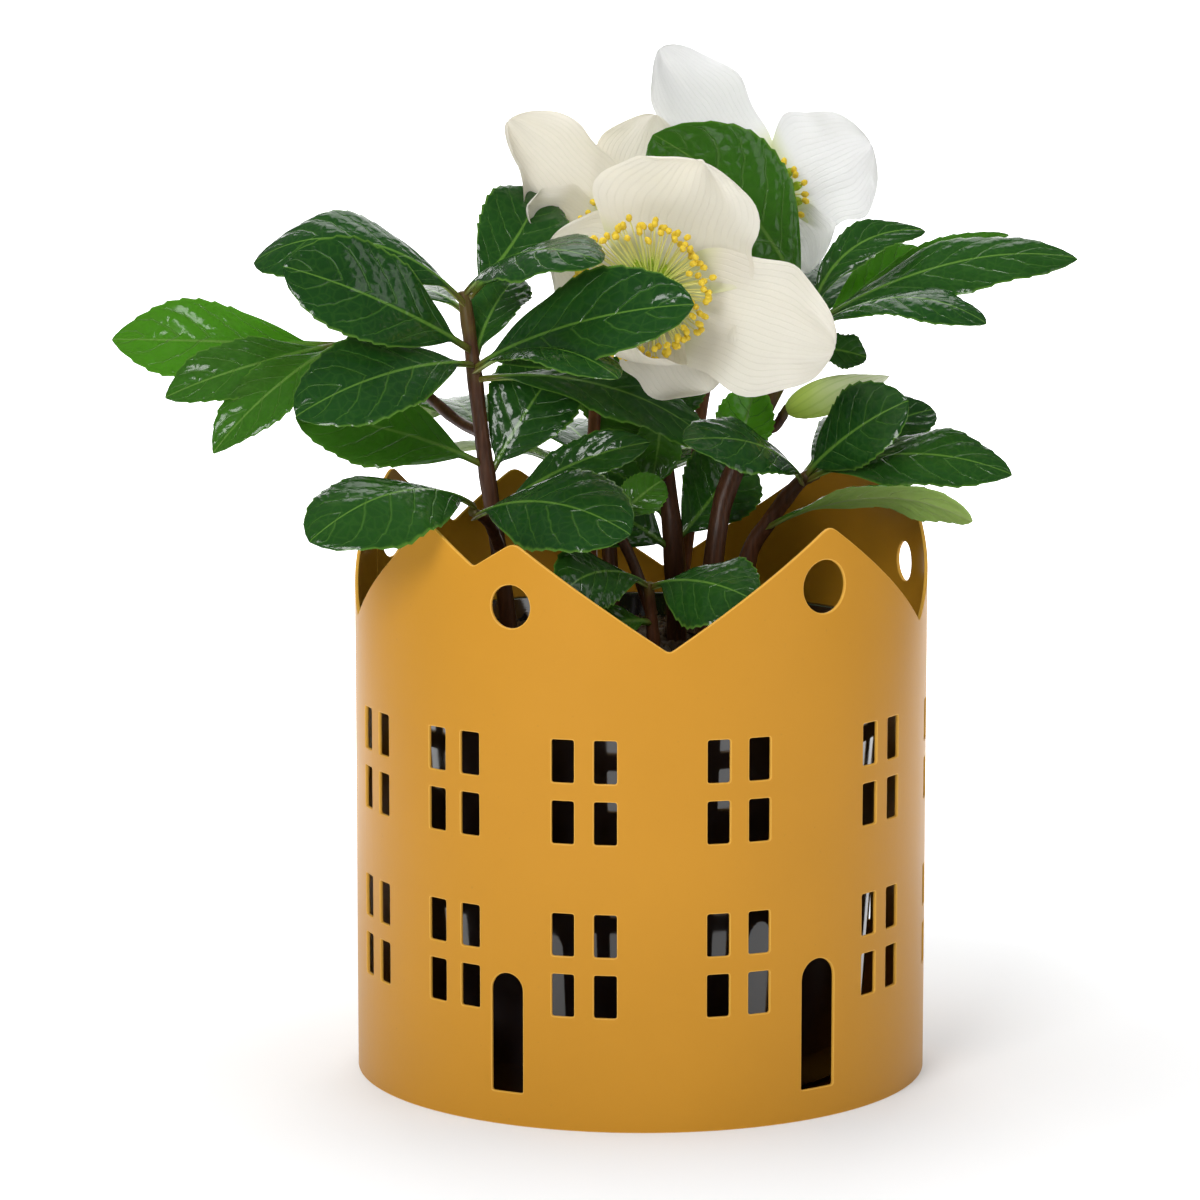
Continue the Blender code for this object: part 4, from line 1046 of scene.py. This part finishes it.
def leaf_lamina():
    """Veins from the marks, a fine net from Voronoi cells, gloss above, and matt and pale below."""
    finish = Finish("leaf_lamina")
    place = finish.place()
    phase, step, along = finish.mark("leaf")
    out, side, young = finish.mark("blade")
    above = finish.ease(side, 0.49, 0.51)
    drift = finish.noise(place, 130.0, 2.0)
    patches = finish.noise(place, 45.0, 4.0)
    fine = finish.noise(place, 1500.0, 3.0)
    wobbled = phase + (drift - 0.5) * 0.35
    from_vein = abs((wobbled + 0.5) % 1.0 - 0.5)
    side_vein = (1 - finish.ease(from_vein, 0.012, 0.07)) * (1 - finish.ease(out, 0.7, 0.95))
    side_vein = side_vein * finish.ease(along, 0.12, 0.25)
    rib = 1 - finish.ease(abs(step) / (1.25 - along), 0.25, 0.75)
    between_cells = {"feature": "DISTANCE_TO_EDGE"}
    cells = finish.node("ShaderNodeTexVoronoi", between_cells, {"Vector": place, "Scale": 300.0}, "Distance")
    net = (1 - finish.ease(cells, 0.02, 0.1)) * 0.45
    edge = finish.ease(out, 0.93, 0.985)

    deep = finish.blend(patches, (0.007, 0.034, 0.007), (0.016, 0.075, 0.012))
    green = finish.blend(young, deep, (0.085, 0.24, 0.018))
    vein_green = finish.blend(young, (0.06, 0.17, 0.022), (0.17, 0.36, 0.06))
    upper = finish.blend(net * 0.35, green, vein_green)
    upper = finish.blend(side_vein * 0.6, upper, vein_green)
    upper = finish.blend(rib * 0.85, upper, finish.blend(young, (0.12, 0.27, 0.035), (0.24, 0.42, 0.09)))
    upper = finish.blend(edge * 0.5, upper, (0.16, 0.34, 0.04))
    pale = finish.blend(patches, (0.28, 0.43, 0.09), (0.40, 0.54, 0.16))
    lower = finish.blend((net + side_vein * 0.6) * 0.5, pale, (0.46, 0.60, 0.22))
    lower = finish.blend(rib * 0.8, lower, (0.42, 0.52, 0.22))
    colour = finish.blend(above, lower, upper)
    colour = finish.blend((1 - finish.ease(along, 0.02, 0.16)) * 0.75, colour, (0.16, 0.10, 0.02))

    quilt = finish.ease(cells, 0.0, 0.4)
    height = (1 - side_vein) * 0.6 + quilt * 0.25 + fine * 0.05 + patches * 0.7
    normal = finish.bump(height, 0.0008, 0.5)
    roughness = finish.node("ShaderNodeMix", {"data_type": "FLOAT"}, {0: above, 2: 0.5, 3: 0.09 + fine * 0.1})
    inputs = {"Base Color": colour, "Roughness": roughness, "Specular IOR Level": 0.42, "Normal": normal}
    veins = side_vein * 0.6 + rib * 0.6 + net * 0.2
    old, fresh, shaded = (0.10, 0.34, 0.01), (0.28, 0.62, 0.03), (0.05, 0.16, 0.01)
    through = finish.lit_through(normal, old, (young, fresh), (veins, shaded))
    return finish.thin(inputs, 0.22 + young * 0.35, through)


LAMINA = leaf_lamina()
for number, (stem_name, leaves) in enumerate(LEAVES.items()):
    skins = [leaf_skin(leaf, 100 * number + k) for k, leaf in enumerate(leaves)]
    add_piece(stem_name + "_leaflets", joined(skins), LAMINA, ["leafy_stem_" + stem_name])


# Blooms
# Three flowers. Each has five broad tepals on a small cup, a disc with green horn-shaped nectaries and
# carpels, and rounds of pale filaments with yellow anthers. Two stand on stalks of their own.

# clock is seen from the front of the bloom, anticlockwise from its right, and spread is from its axis. arch
# bends the middle line and cup the cross-section. curl bends the outer half towards the front, roll turns up
# the side named by its sign, and a lower full gives a broader tip.
TEPAL_FIELDS = "clock length width spread arch cup twist curl roll full"
Tepal = namedtuple("Tepal", TEPAL_FIELDS, defaults=(0, 0, 0, 0.6))
Bloom = namedtuple("Bloom", "name centre heading rise tepals stamens reach stalk petal_white")
BLOOMS = (
    Bloom(
        "bloom_front", (3, -16, 220), -16, 6,
        (
            Tepal(66, 38, 50, 78, -0.08, 0.16, 0, 12, 0, 0.4),
            Tepal(-15, 54, 38, 76, -0.06, 0.1, 0, -14, 0, 0.42),
            Tepal(-56, 30, 36, 86, -0.06, 0.14, 0, 0, 0, 0.5),
            Tepal(-110, 31, 36, 64, -0.06, 0.16, 0, 130, 0, 0.4),
            Tepal(156, 30, 30, 90, -0.06, 0.14),
        ),
        118, 17.5, None, (0.95, 0.92, 0.84),
    ),
    Bloom(
        "bloom_left", (-7, 12, 232), -14, 14,
        (
            Tepal(134, 43, 30, 69, -0.08, 0.1, 0, 10, -100, 0.45),
            Tepal(164, 27, 20, 60, -0.08, 0.2, 0, 30, 0, 0.5),
            Tepal(74, 34, 28, 86, -0.06, 0.16, 0, 0, 0, 0.5),
            Tepal(10, 24, 22, 78, -0.08, 0.14),
            Tepal(-70, 22, 24, 86, -0.08, 0.14),
        ),
        26, 9.0, ((-14, 8, 119), (-14, 4, 160), (-12, 12, 196), (-8, 22, 219)), (0.95, 0.92, 0.84),
    ),
    Bloom(
        "bloom_back", (36, 32, 243), 6, 10,
        (
            Tepal(128, 50, 27, 78, -0.08, 0.12, 0, 0, 0, 0.5),
            Tepal(26, 30, 36, 84, -0.08, 0.16, 0, 0, 0, 0.42),
            Tepal(168, 44, 26, 86, -0.06, 0.12, 0, 0, 0, 0.5),
            Tepal(-66, 23, 26, 76, -0.08, 0.16),
            Tepal(-118, 28, 28, 86, -0.06, 0.16),
        ),
        22, 7.5, ((10, 26, 119), (15, 25, 160), (18, 29, 188), (27, 42, 224)), (0.97, 0.97, 0.97),
    ),
)
EDGE_WAVE = 0.09
CUP_THICKNESS = 1.2
CLAW_START = 2.4
TEPAL_THICKNESS = 0.45
TEPAL_STATIONS = 34
TEPAL_COLUMNS = 25
CUP_RADIUS = 5.2
DISC_RADIUS = 5.0
DISC_THICKNESS = 1.2
DISC_SIDES = 28
KNOB_LENGTH = 5.0
KNOB_RIBS = 0.03
STAMEN_OPENINGS = (66.0, 60.0, 50.0, 63.0)
NECTARIES = 11
CARPELS = 5


def unit(vector):
    return np.asarray(vector, float) / np.linalg.norm(vector)


def bloom_frame(bloom):
    """The bloom's axis, its right and its up, as seen from the front of it."""
    heading, rise = math.radians(bloom.heading), math.radians(bloom.rise)
    axis = np.array([math.sin(heading) * math.cos(rise), -math.cos(heading) * math.cos(rise), math.sin(rise)])
    up = unit(np.array([0.0, 0.0, 1.0]) - axis * axis[2])
    return axis, np.cross(up, axis), up


def tepal_skin(bloom, number, seed):
    """One tepal.

    Half the width is sin(pi u^0.95)^full of the full one, never under the claw's, and waves a little on each
    side. The cross-section is a cup, v squared, plus a roll of one side, plus a frill that grows towards the
    edge and the tip, and fine pleats.
    """
    tepal = bloom.tepals[number]
    axis, right, up = bloom_frame(bloom)
    draw = np.random.default_rng(seed)
    clock, spread = math.radians(tepal.clock), math.radians(tepal.spread)
    outward = right * math.cos(clock) + up * math.sin(clock)
    reach = axis * math.cos(spread) + outward * math.sin(spread)
    inner_face = axis * math.sin(spread) - outward * math.cos(spread)
    root = np.array(bloom.centre) + outward * CLAW_START + axis * (CUP_THICKNESS / 2)
    u = 0.5 - 0.5 * np.cos(math.pi * np.linspace(0.0, 1.0, TEPAL_STATIONS) ** 0.9)
    v = np.linspace(-1.0, 1.0, TEPAL_COLUMNS)[None]
    body = np.sin(math.pi * u**0.95) ** tepal.full
    shift = draw.uniform(0.0, math.tau, 8)
    waves_of_edge = np.sin(math.tau * np.outer(u, (1.5, 1.9)) + shift[6:8])
    wave = np.where(v < 0, waves_of_edge[:, :1], waves_of_edge[:, 1:])
    uneven = 1 + EDGE_WAVE * wave * np.sin(math.pi * u)[:, None]
    half = np.maximum((tepal.width / 2 * body)[:, None] * uneven, np.where(u < 0.5, 2.2, 0.3)[:, None])
    ease = np.clip((u - 0.25) / 0.5, 0.0, 1.0)[:, None]
    turned_up = np.maximum(v * np.sign(tepal.roll) - 0.15, 0.0) * abs(math.radians(tepal.roll)) * ease * 1.3
    angle = (2 * tepal.cup * v + turned_up * np.sign(v)) * np.ones_like(half)
    across_by, lift = rolled_section(half, v, angle)
    row = u[:, None]
    frill = 2.1 * np.sin(math.tau * (1.6 * row + 0.3 * v) + number) * row * v**2
    frill = frill + 1.0 * np.sin(math.tau * (3.1 * row - 0.5 * v) + shift[0]) * (row * v**2) ** 1.5
    frill = frill + 1.1 * np.sin(math.tau * 1.1 * v + shift[4]) * row**4 * (1 - v**4)
    pleats = 0.10 * np.sin(14 * v + 2.0 * row + shift[1]) * row
    pleats = pleats + 0.35 * np.sin(5 * v + shift[5]) * row * (1 - 0.5 * v**2)
    lift = lift + (frill + pleats) * np.minimum(half / 10.0, 1.2)
    curl = tepal.curl * np.clip((u - 0.35) / 0.65, 0.0, 1.0) ** 1.2
    tip = root + reach * tepal.length
    points, facing = blade_points(root, tip, inner_face, tepal.arch, tepal.twist, u, across_by, lift, curl)
    mark = np.stack(np.broadcast_arrays(row + 0 * v, v * 4.0 + shift[3], across_by), axis=-1)
    blade_mark = np.stack(np.broadcast_arrays(np.abs(v) + 0 * lift, 0 * lift, 0 * lift), axis=-1)
    return blade_skin(points, facing, TEPAL_THICKNESS + 0 * lift, {"tepal": mark, "blade": blade_mark})


def tepal_finish(name, white):
    """Thin waxy petal: warm white, green-yellow at the claw, with fine long veins that show against light."""
    finish = Finish(name)
    place = finish.place()
    along, fan, _ = finish.mark("tepal")
    drift = finish.noise(place, 90.0, 3.0)
    spread = fan * 2.6 + (drift - 0.5) * 1.1
    from_line = abs(spread % 1.0 - 0.5)
    vein = (1 - finish.ease(from_line, 0.02, 0.16)) * finish.ease(along, 0.1, 0.5)
    fine = finish.noise(place, 700.0, 4.0)
    claw = 1 - finish.ease(along, 0.04, 0.32)
    layers = (
        white,
        (finish.noise(place, 40.0, 3.0), tuple(0.94 * c for c in white)),
        (vein * 0.12, tuple(c * f for c, f in zip(white, (0.8, 0.8, 0.78)))),
        (claw * 0.6, (0.62, 0.70, 0.16)),
    )
    normal = finish.bump((1 - vein) * 0.3 + fine * 0.2 + drift * 1.2, 0.0005, 0.5)
    inputs = {
        "Base Color": finish.laid(*layers),
        "Roughness": 0.42 + fine * 0.16,
        "Specular IOR Level": 0.35,
        "Normal": normal,
    }
    return finish.thin(inputs, 0.45, finish.lit_through(normal, *layers))


def disc_skin(centre, axis, radius, thickness):
    """A low round button: rows from the middle of its back, over its rim, to the middle of its front."""
    profile = np.array([(0.0, 0.0), (0.86, 0.0), (1.0, 0.25), (1.0, 0.7), (0.86, 1.0), (0.0, 1.12)])
    first = unit(np.cross(axis, (0.3, 0.1, 0.95)))
    second = np.cross(axis, first)
    turn = np.linspace(0.0, math.tau, DISC_SIDES, endpoint=False)
    ring = first * np.cos(turn)[:, None] + second * np.sin(turn)[:, None]
    out, up = profile[:, :1] * radius, profile[:, 1:] * thickness
    rows = centre + ring[None] * out[..., None] + axis * up[..., None]
    return Skin(rows, [grid_faces(len(profile), DISC_SIDES, wrap=True)])


def swept_skin(path, radii, sides, mark_name=None, mark_value=0.0):
    """Rings of the given radii about every point of one or many paths of like length, closed at the ends."""
    path = np.asarray(path, float)
    path = path[None] if path.ndim == 2 else path
    tangent = np.gradient(path, axis=1)
    tangent /= np.linalg.norm(tangent, axis=2, keepdims=True)
    first = np.cross(tangent, (0.31, -0.52, 0.8))
    first /= np.linalg.norm(first, axis=2, keepdims=True)
    second = np.cross(tangent, first)
    turn = np.linspace(0.0, math.tau, sides, endpoint=False)[:, None]
    radii = np.broadcast_to(np.asarray(radii, float), path.shape[:2])
    ring = first[:, :, None] * np.cos(turn) + second[:, :, None] * np.sin(turn)
    points = path[:, :, None] + ring * radii[..., None, None]
    count, rows = path.shape[:2]
    cells = grid_faces(rows, sides, wrap=True)
    shifts = np.arange(count)[:, None, None] * rows * sides
    ends = np.stack([np.arange(sides)[::-1], np.arange(sides) + (rows - 1) * sides])
    marks = {}
    if mark_name:
        share = np.linspace(0.0, 1.0, rows)[None, :, None] + 0 * points[..., 0]
        marks[mark_name] = np.stack([share, mark_value + 0 * share, 0 * share], axis=-1)
    return Skin(points, [(cells + shifts).reshape(-1, 4), (ends + shifts).reshape(-1, sides)], marks)


def nectary_finish():
    """Waxy yellow-green, faintly varied in tint, and letting a little light through."""
    finish = Finish("nectary_wax")
    place = finish.place()
    tint = finish.noise(place, 500.0, 3.0)
    colour = finish.blend(tint, (0.30, 0.46, 0.02), (0.52, 0.66, 0.06))
    inputs = {"Base Color": colour, "Roughness": 0.35, "Normal": finish.bump(tint, 0.0002, 0.4)}
    return finish.thin(inputs, 0.3, finish.lit_through(None, (0.55, 0.75, 0.05)))


def stamen_finish():
    """Pale filaments, greener at the foot, and egg-yellow powdery anthers, told apart by the mark."""
    finish = Finish("stamen_pollen")
    place = finish.place()
    along, anther, _ = finish.mark("stamen")
    grain = finish.noise(place, 2500.0, 2.0)
    on_anther = finish.ease(anther, 0.4, 0.6)
    layers = (
        (0.66, 0.80, 0.12),
        (finish.ease(along, 0.1, 0.7), (0.90, 0.86, 0.34)),
        (on_anther, (0.88, 0.60, 0.02)),
        (on_anther * grain, (0.97, 0.80, 0.09)),
    )
    normal = finish.bump(grain, 0.0003, 0.5)
    inputs = {"Base Color": finish.laid(*layers), "Roughness": 0.6, "Normal": normal}
    return finish.thin(inputs, 0.25, finish.lit_through(None, *layers))


def heart_skin(bloom):
    """The disc, a round of nectar horns that widen to slanted mouths, and carpels with long bent tips."""
    axis, right, up = bloom_frame(bloom)
    back = np.array(bloom.centre) + axis * (CUP_THICKNESS + 0.3)
    skins = [disc_skin(back, axis, DISC_RADIUS, DISC_THICKNESS)]
    for k in range(NECTARIES):
        turn = math.tau * (k + 0.5) / NECTARIES
        outward = right * math.cos(turn) + up * math.sin(turn)
        root = back + axis * 0.9 + outward * 4.0
        s = np.linspace(0.0, 1.0, 7)[:, None]
        path = root + outward * (4.6 * s) + axis * (3.4 * s**1.6)
        skins.append(swept_skin(path, [0.5, 0.8, 1.0, 1.15, 1.25, 1.35, 0.9], 10))
    for k in range(CARPELS):
        turn = math.tau * k / CARPELS
        outward = right * math.cos(turn) + up * math.sin(turn)
        s = np.linspace(0.0, 1.0, 9)[:, None]
        path = back + axis * 0.6 + outward * (0.8 + 1.8 * s**3) + axis * (10.0 * s)
        skins.append(swept_skin(path, [1.0, 1.3, 1.35, 1.2, 0.8, 0.5, 0.42, 0.4, 0.3], 8))
    return joined(skins)


def stamens_skin(bloom, seed):
    """Filaments that leave a ring, open outwards and bend back a little, each with a two-lobed anther."""
    axis, right, up = bloom_frame(bloom)
    draw = np.random.default_rng(seed)
    count = bloom.stamens
    turn = math.tau * (np.arange(count) + draw.uniform(-0.4, 0.4, count)) / count
    layer = np.array(STAMEN_OPENINGS)[np.arange(count) % len(STAMEN_OPENINGS)]
    opening = np.radians(layer + draw.uniform(-6.0, 6.0, count))
    length = bloom.reach * draw.uniform(0.87, 1.11, count)
    outward = right * np.cos(turn)[:, None] + up * np.sin(turn)[:, None]
    back = np.array(bloom.centre) + axis * (CUP_THICKNESS + 1.6)
    s = np.linspace(0.0, 1.0, 8)[None, :, None]
    sag = draw.uniform(-0.10, 0.16, count)[:, None, None]
    leaving = axis * np.cos(opening)[:, None] + outward * np.sin(opening)[:, None]
    reach = leaving[:, None] * length[:, None, None]
    bent_back = (axis * length[:, None])[:, None] * sag * (s - s**2) * 2
    path = back + outward[:, None] * 2.6 + reach * s + bent_back
    filaments = swept_skin(path, np.linspace(0.30, 0.2, 8), 5, "stamen", 0.0)
    lean = draw.normal(0.0, 0.35, (count, 3))
    direction = path[:, -1] - path[:, -2]
    direction = direction / np.linalg.norm(direction, axis=1, keepdims=True) + lean
    direction /= np.linalg.norm(direction, axis=1, keepdims=True)
    t = np.linspace(-0.5, 0.5, 7)[None, :, None]
    size = draw.uniform(1.9, 2.8, count)[:, None, None]
    anther_path = path[:, -1][:, None] + direction[:, None] * t * size
    anthers = swept_skin(anther_path, [0.25, 0.7, 0.9, 0.82, 0.9, 0.68, 0.22], 7, "stamen", 1.0)
    return joined([filaments, anthers])


def make_bloom(bloom, seed):
    axis, _, _ = bloom_frame(bloom)
    white = tepal_finish(bloom.name + "_petal", bloom.petal_white)
    skins = [tepal_skin(bloom, number, seed + number) for number in range(len(bloom.tepals))]
    add_piece(bloom.name + "_petals", joined(skins), white, [bloom.name + "_tepals"])
    cup = disc_skin(np.array(bloom.centre) - axis * 0.1, axis, CUP_RADIUS, CUP_THICKNESS)
    middle = joined([cup, heart_skin(bloom)])
    add_piece(bloom.name + "_nectaries", middle, NECTAR_WAX, [bloom.name + "_heart"])
    stamens = stamens_skin(bloom, seed + 9)
    add_piece(bloom.name + "_anthers", stamens, POLLEN, [bloom.name + "_stamens"])
    back = np.array(bloom.centre) - axis * (0.3 + KNOB_LENGTH)
    knob = [back - axis * 2.0, back, back + axis * 2.5, back + axis * KNOB_LENGTH]
    if bloom.stalk:
        foot = np.array(bloom.stalk[0], float) - (0, 0, STEM_INTO_SOIL)
        stalk = rod([foot, *bloom.stalk, *knob[:2]], (1.9, 1.5), seed)
        skins = [stalk, rod(knob, (1.5, 3.5), seed, KNOB_RIBS)]
        add_piece(bloom.name + "_stem", joined(skins), BLOOM_STALK, [bloom.name + "_stalk"])
    else:
        neck = rod([STEMS[1].path[-1], *knob[:2]], (1.9, 1.7), seed)
        skins = [neck, rod(knob, (1.7, 3.5), seed, KNOB_RIBS)]
        add_piece(bloom.name + "_neck", joined(skins), BLOOM_STALK)


NECTAR_WAX = nectary_finish()
POLLEN = stamen_finish()
BLOOM_STALK = stem_bark("stalk_bark", (0.10, 0.035, 0.014), (0.22, 0.26, 0.06), 0.6)
for number, bloom in enumerate(BLOOMS):
    make_bloom(bloom, 300 + 20 * number)


# Bud
# A closed flower bud on its short stalk at the right: wrapped tepals, green at the foot and white at the tip.

BUD_ROOT = (40, 4, 185)
BUD_TIP = (69, 0, 195)
BUD_RADIUS = 5.2
BUD_FOLDS = 3


def bud_skin():
    """A spindle, radius sin(pi u^0.7)^0.8, with wrapped folds that wind partly round towards the tip."""
    root, tip = np.array(BUD_ROOT, float), np.array(BUD_TIP, float)
    u = np.linspace(0.0, 1.0, 36)
    path = root + (tip - root) * u[:, None]
    tangent, first, second = frames_along(path)
    angle = np.linspace(0.0, math.tau, 40, endpoint=False)
    wrap = (BUD_FOLDS * angle / math.tau + 0.8 * u[:, None]) % 1.0
    radius = np.maximum(np.sin(math.pi * u**0.7), 0.0)[:, None] ** 0.8 * BUD_RADIUS * (0.94 + 0.1 * wrap)
    ring = first[:, None] * np.cos(angle)[:, None] + second[:, None] * np.sin(angle)[:, None]
    points = path[:, None] + ring * radius[..., None]
    mark = np.stack(np.broadcast_arrays(u[:, None] + 0 * angle, wrap, 0 * radius), axis=-1)
    return Skin(points, [grid_faces(len(u), len(angle), wrap=True)], {"bud": mark})


def bud_finish():
    """Pale green with long veins at the foot, cream towards the tip."""
    finish = Finish("bud_skin")
    place = finish.place()
    along, wrap, _ = finish.mark("bud")
    drift = finish.noise(place, 120.0, 3.0)
    line = abs((wrap * 4 + (drift - 0.5) * 0.6) % 1.0 - 0.5)
    vein = 1 - finish.ease(line, 0.03, 0.2)
    pale = finish.ease(along + (drift - 0.5) * 0.3, 0.15, 0.85)
    layers = ((0.66, 0.82, 0.20), (pale, (0.97, 0.97, 0.86)), (vein * 0.3, (0.44, 0.62, 0.14)))
    normal = finish.bump(drift + vein * 0.4, 0.0003, 0.4)
    inputs = {"Base Color": finish.laid(*layers), "Roughness": 0.4, "Normal": normal}
    return finish.thin(inputs, 0.45, finish.lit_through(None, *layers))


add_piece("closed_bud", bud_skin(), bud_finish())


# Studio
# A pale floor that sweeps up behind and glows white away from the plant, a white surround that only the
# camera sees, soft lights above, in front and at the right, and the camera in the photograph's own place.

CAMERA_PLACE = (0.0, -1.287185, 0.328128)
CAMERA_YAW = -0.0089336
CAMERA_PITCH = 0.1512069
CAMERA_LENS = 139.5
CAMERA_SENSOR = 36.0
SWEEP_BACK = 1.3
SWEEP_ROUND = 0.5
SWEEP_TOP = 3.0
SWEEP_FRONT = -0.9
SWEEP_HALF_WIDTH = 0.6
TABLE_GLOW = (0.145, 0.16, 0.175)
WALL_GLOW = 1.5
GLOW_STARTS = 0.15
GLOW_FULL = 0.5
SURROUND = 0.14


def glowing_paper():
    finish = Finish("glowing_paper")
    place = finish.place()
    tone = finish.noise(place, 3.0, 2.0)
    away = finish.node("ShaderNodeVectorMath", {"operation": "LENGTH"}, {0: place}, "Value")
    far = finish.ease(away, GLOW_STARTS, GLOW_FULL)
    inputs = {
        "Base Color": finish.blend(tone, (0.77, 0.77, 0.77), (0.79, 0.79, 0.79)),
        "Roughness": 0.9,
        "Specular IOR Level": 0.0,
        # Painted light: the sweep itself glows, faintly and a little cool near the plant to offset the warm
        # light the cover throws on it, and white further away.
        "Emission Color": finish.blend(far, TABLE_GLOW, (WALL_GLOW,) * 3),
        "Emission Strength": 1.0,
    }
    return finish.solid(inputs)


def make_sweep():
    """Floor and back wall in one sheet: flat, then a quarter round, then upright, drawn out along X."""
    turn = np.linspace(0.0, math.pi / 2, 24)
    curve = np.column_stack([SWEEP_BACK + SWEEP_ROUND * np.sin(turn), SWEEP_ROUND * (1 - np.cos(turn))])
    profile = np.vstack([[(SWEEP_FRONT, 0.0)], curve, [(SWEEP_BACK + SWEEP_ROUND, SWEEP_TOP)]])
    across = np.array([-SWEEP_HALF_WIDTH, SWEEP_HALF_WIDTH])
    points = np.stack(np.broadcast_arrays(across[None, :], profile[:, :1], profile[:, 1:]), axis=-1)
    mesh = bpy.data.meshes.new("studio_sweep")
    mesh.from_pydata(points.reshape(-1, 3).tolist(), [], grid_faces(len(profile), 2).tolist())
    mesh.shade_smooth()
    mesh.materials.append(glowing_paper())
    sweep = bpy.data.objects.new("studio_sweep", mesh)
    bpy.context.scene.collection.objects.link(sweep)


def add_soft_light(name, place, aim, size, power, mirrored=True):
    light = bpy.data.lights.new(name, "AREA")
    light.shape = "RECTANGLE"
    light.size, light.size_y = size
    light.energy = power
    lamp = bpy.data.objects.new(name, light)
    lamp.location = place
    lamp.rotation_euler = (Vector(aim) - Vector(place)).to_track_quat("-Z", "Y").to_euler()
    lamp.visible_glossy = mirrored
    bpy.context.scene.collection.objects.link(lamp)


def make_camera():
    lens = bpy.data.cameras.new("camera")
    lens.lens = CAMERA_LENS
    lens.sensor_width = CAMERA_SENSOR
    lens.clip_end = 20.0
    camera = bpy.data.objects.new("camera", lens)
    forward = Vector((
        math.sin(CAMERA_YAW) * math.cos(CAMERA_PITCH),
        math.cos(CAMERA_YAW) * math.cos(CAMERA_PITCH),
        -math.sin(CAMERA_PITCH),
    ))
    right = Vector((math.cos(CAMERA_YAW), -math.sin(CAMERA_YAW), 0.0))
    turned_to = Matrix((right, right.cross(forward), -forward)).transposed().to_4x4()
    turned_to.translation = CAMERA_PLACE
    camera.matrix_world = turned_to
    bpy.context.scene.collection.objects.link(camera)
    bpy.context.scene.camera = camera


def make_surround():
    """White where the camera looks past the table, and dim where it would only haze the glossy leaves."""
    world = bpy.data.worlds.new("studio")
    world.use_nodes = True
    nodes, links = world.node_tree.nodes, world.node_tree.links
    seen = nodes.new("ShaderNodeLightPath")
    strength = nodes.new("ShaderNodeMix")
    strength.inputs[2].default_value = SURROUND
    strength.inputs[3].default_value = 1.0
    links.new(seen.outputs["Is Camera Ray"], strength.inputs[0])
    links.new(strength.outputs[0], nodes["Background"].inputs["Strength"])
    nodes["Background"].inputs["Color"].default_value = (1.0, 1.0, 1.0, 1.0)
    bpy.context.scene.world = world


make_sweep()
make_surround()
add_soft_light("above", (-0.1, 0.15, 1.25), (0.0, 0.0, 0.1), (1.3, 1.1), 14.8, mirrored=False)
add_soft_light("front", (-0.55, -1.3, 0.85), (0.0, 0.0, 0.15), (0.55, 0.55), 12.4)
add_soft_light("right", (1.2, -0.8, 0.5), (0.0, 0.0, 0.15), (0.5, 0.9), 2.6)
make_camera()
bpy.context.scene.view_settings.view_transform = "Standard"
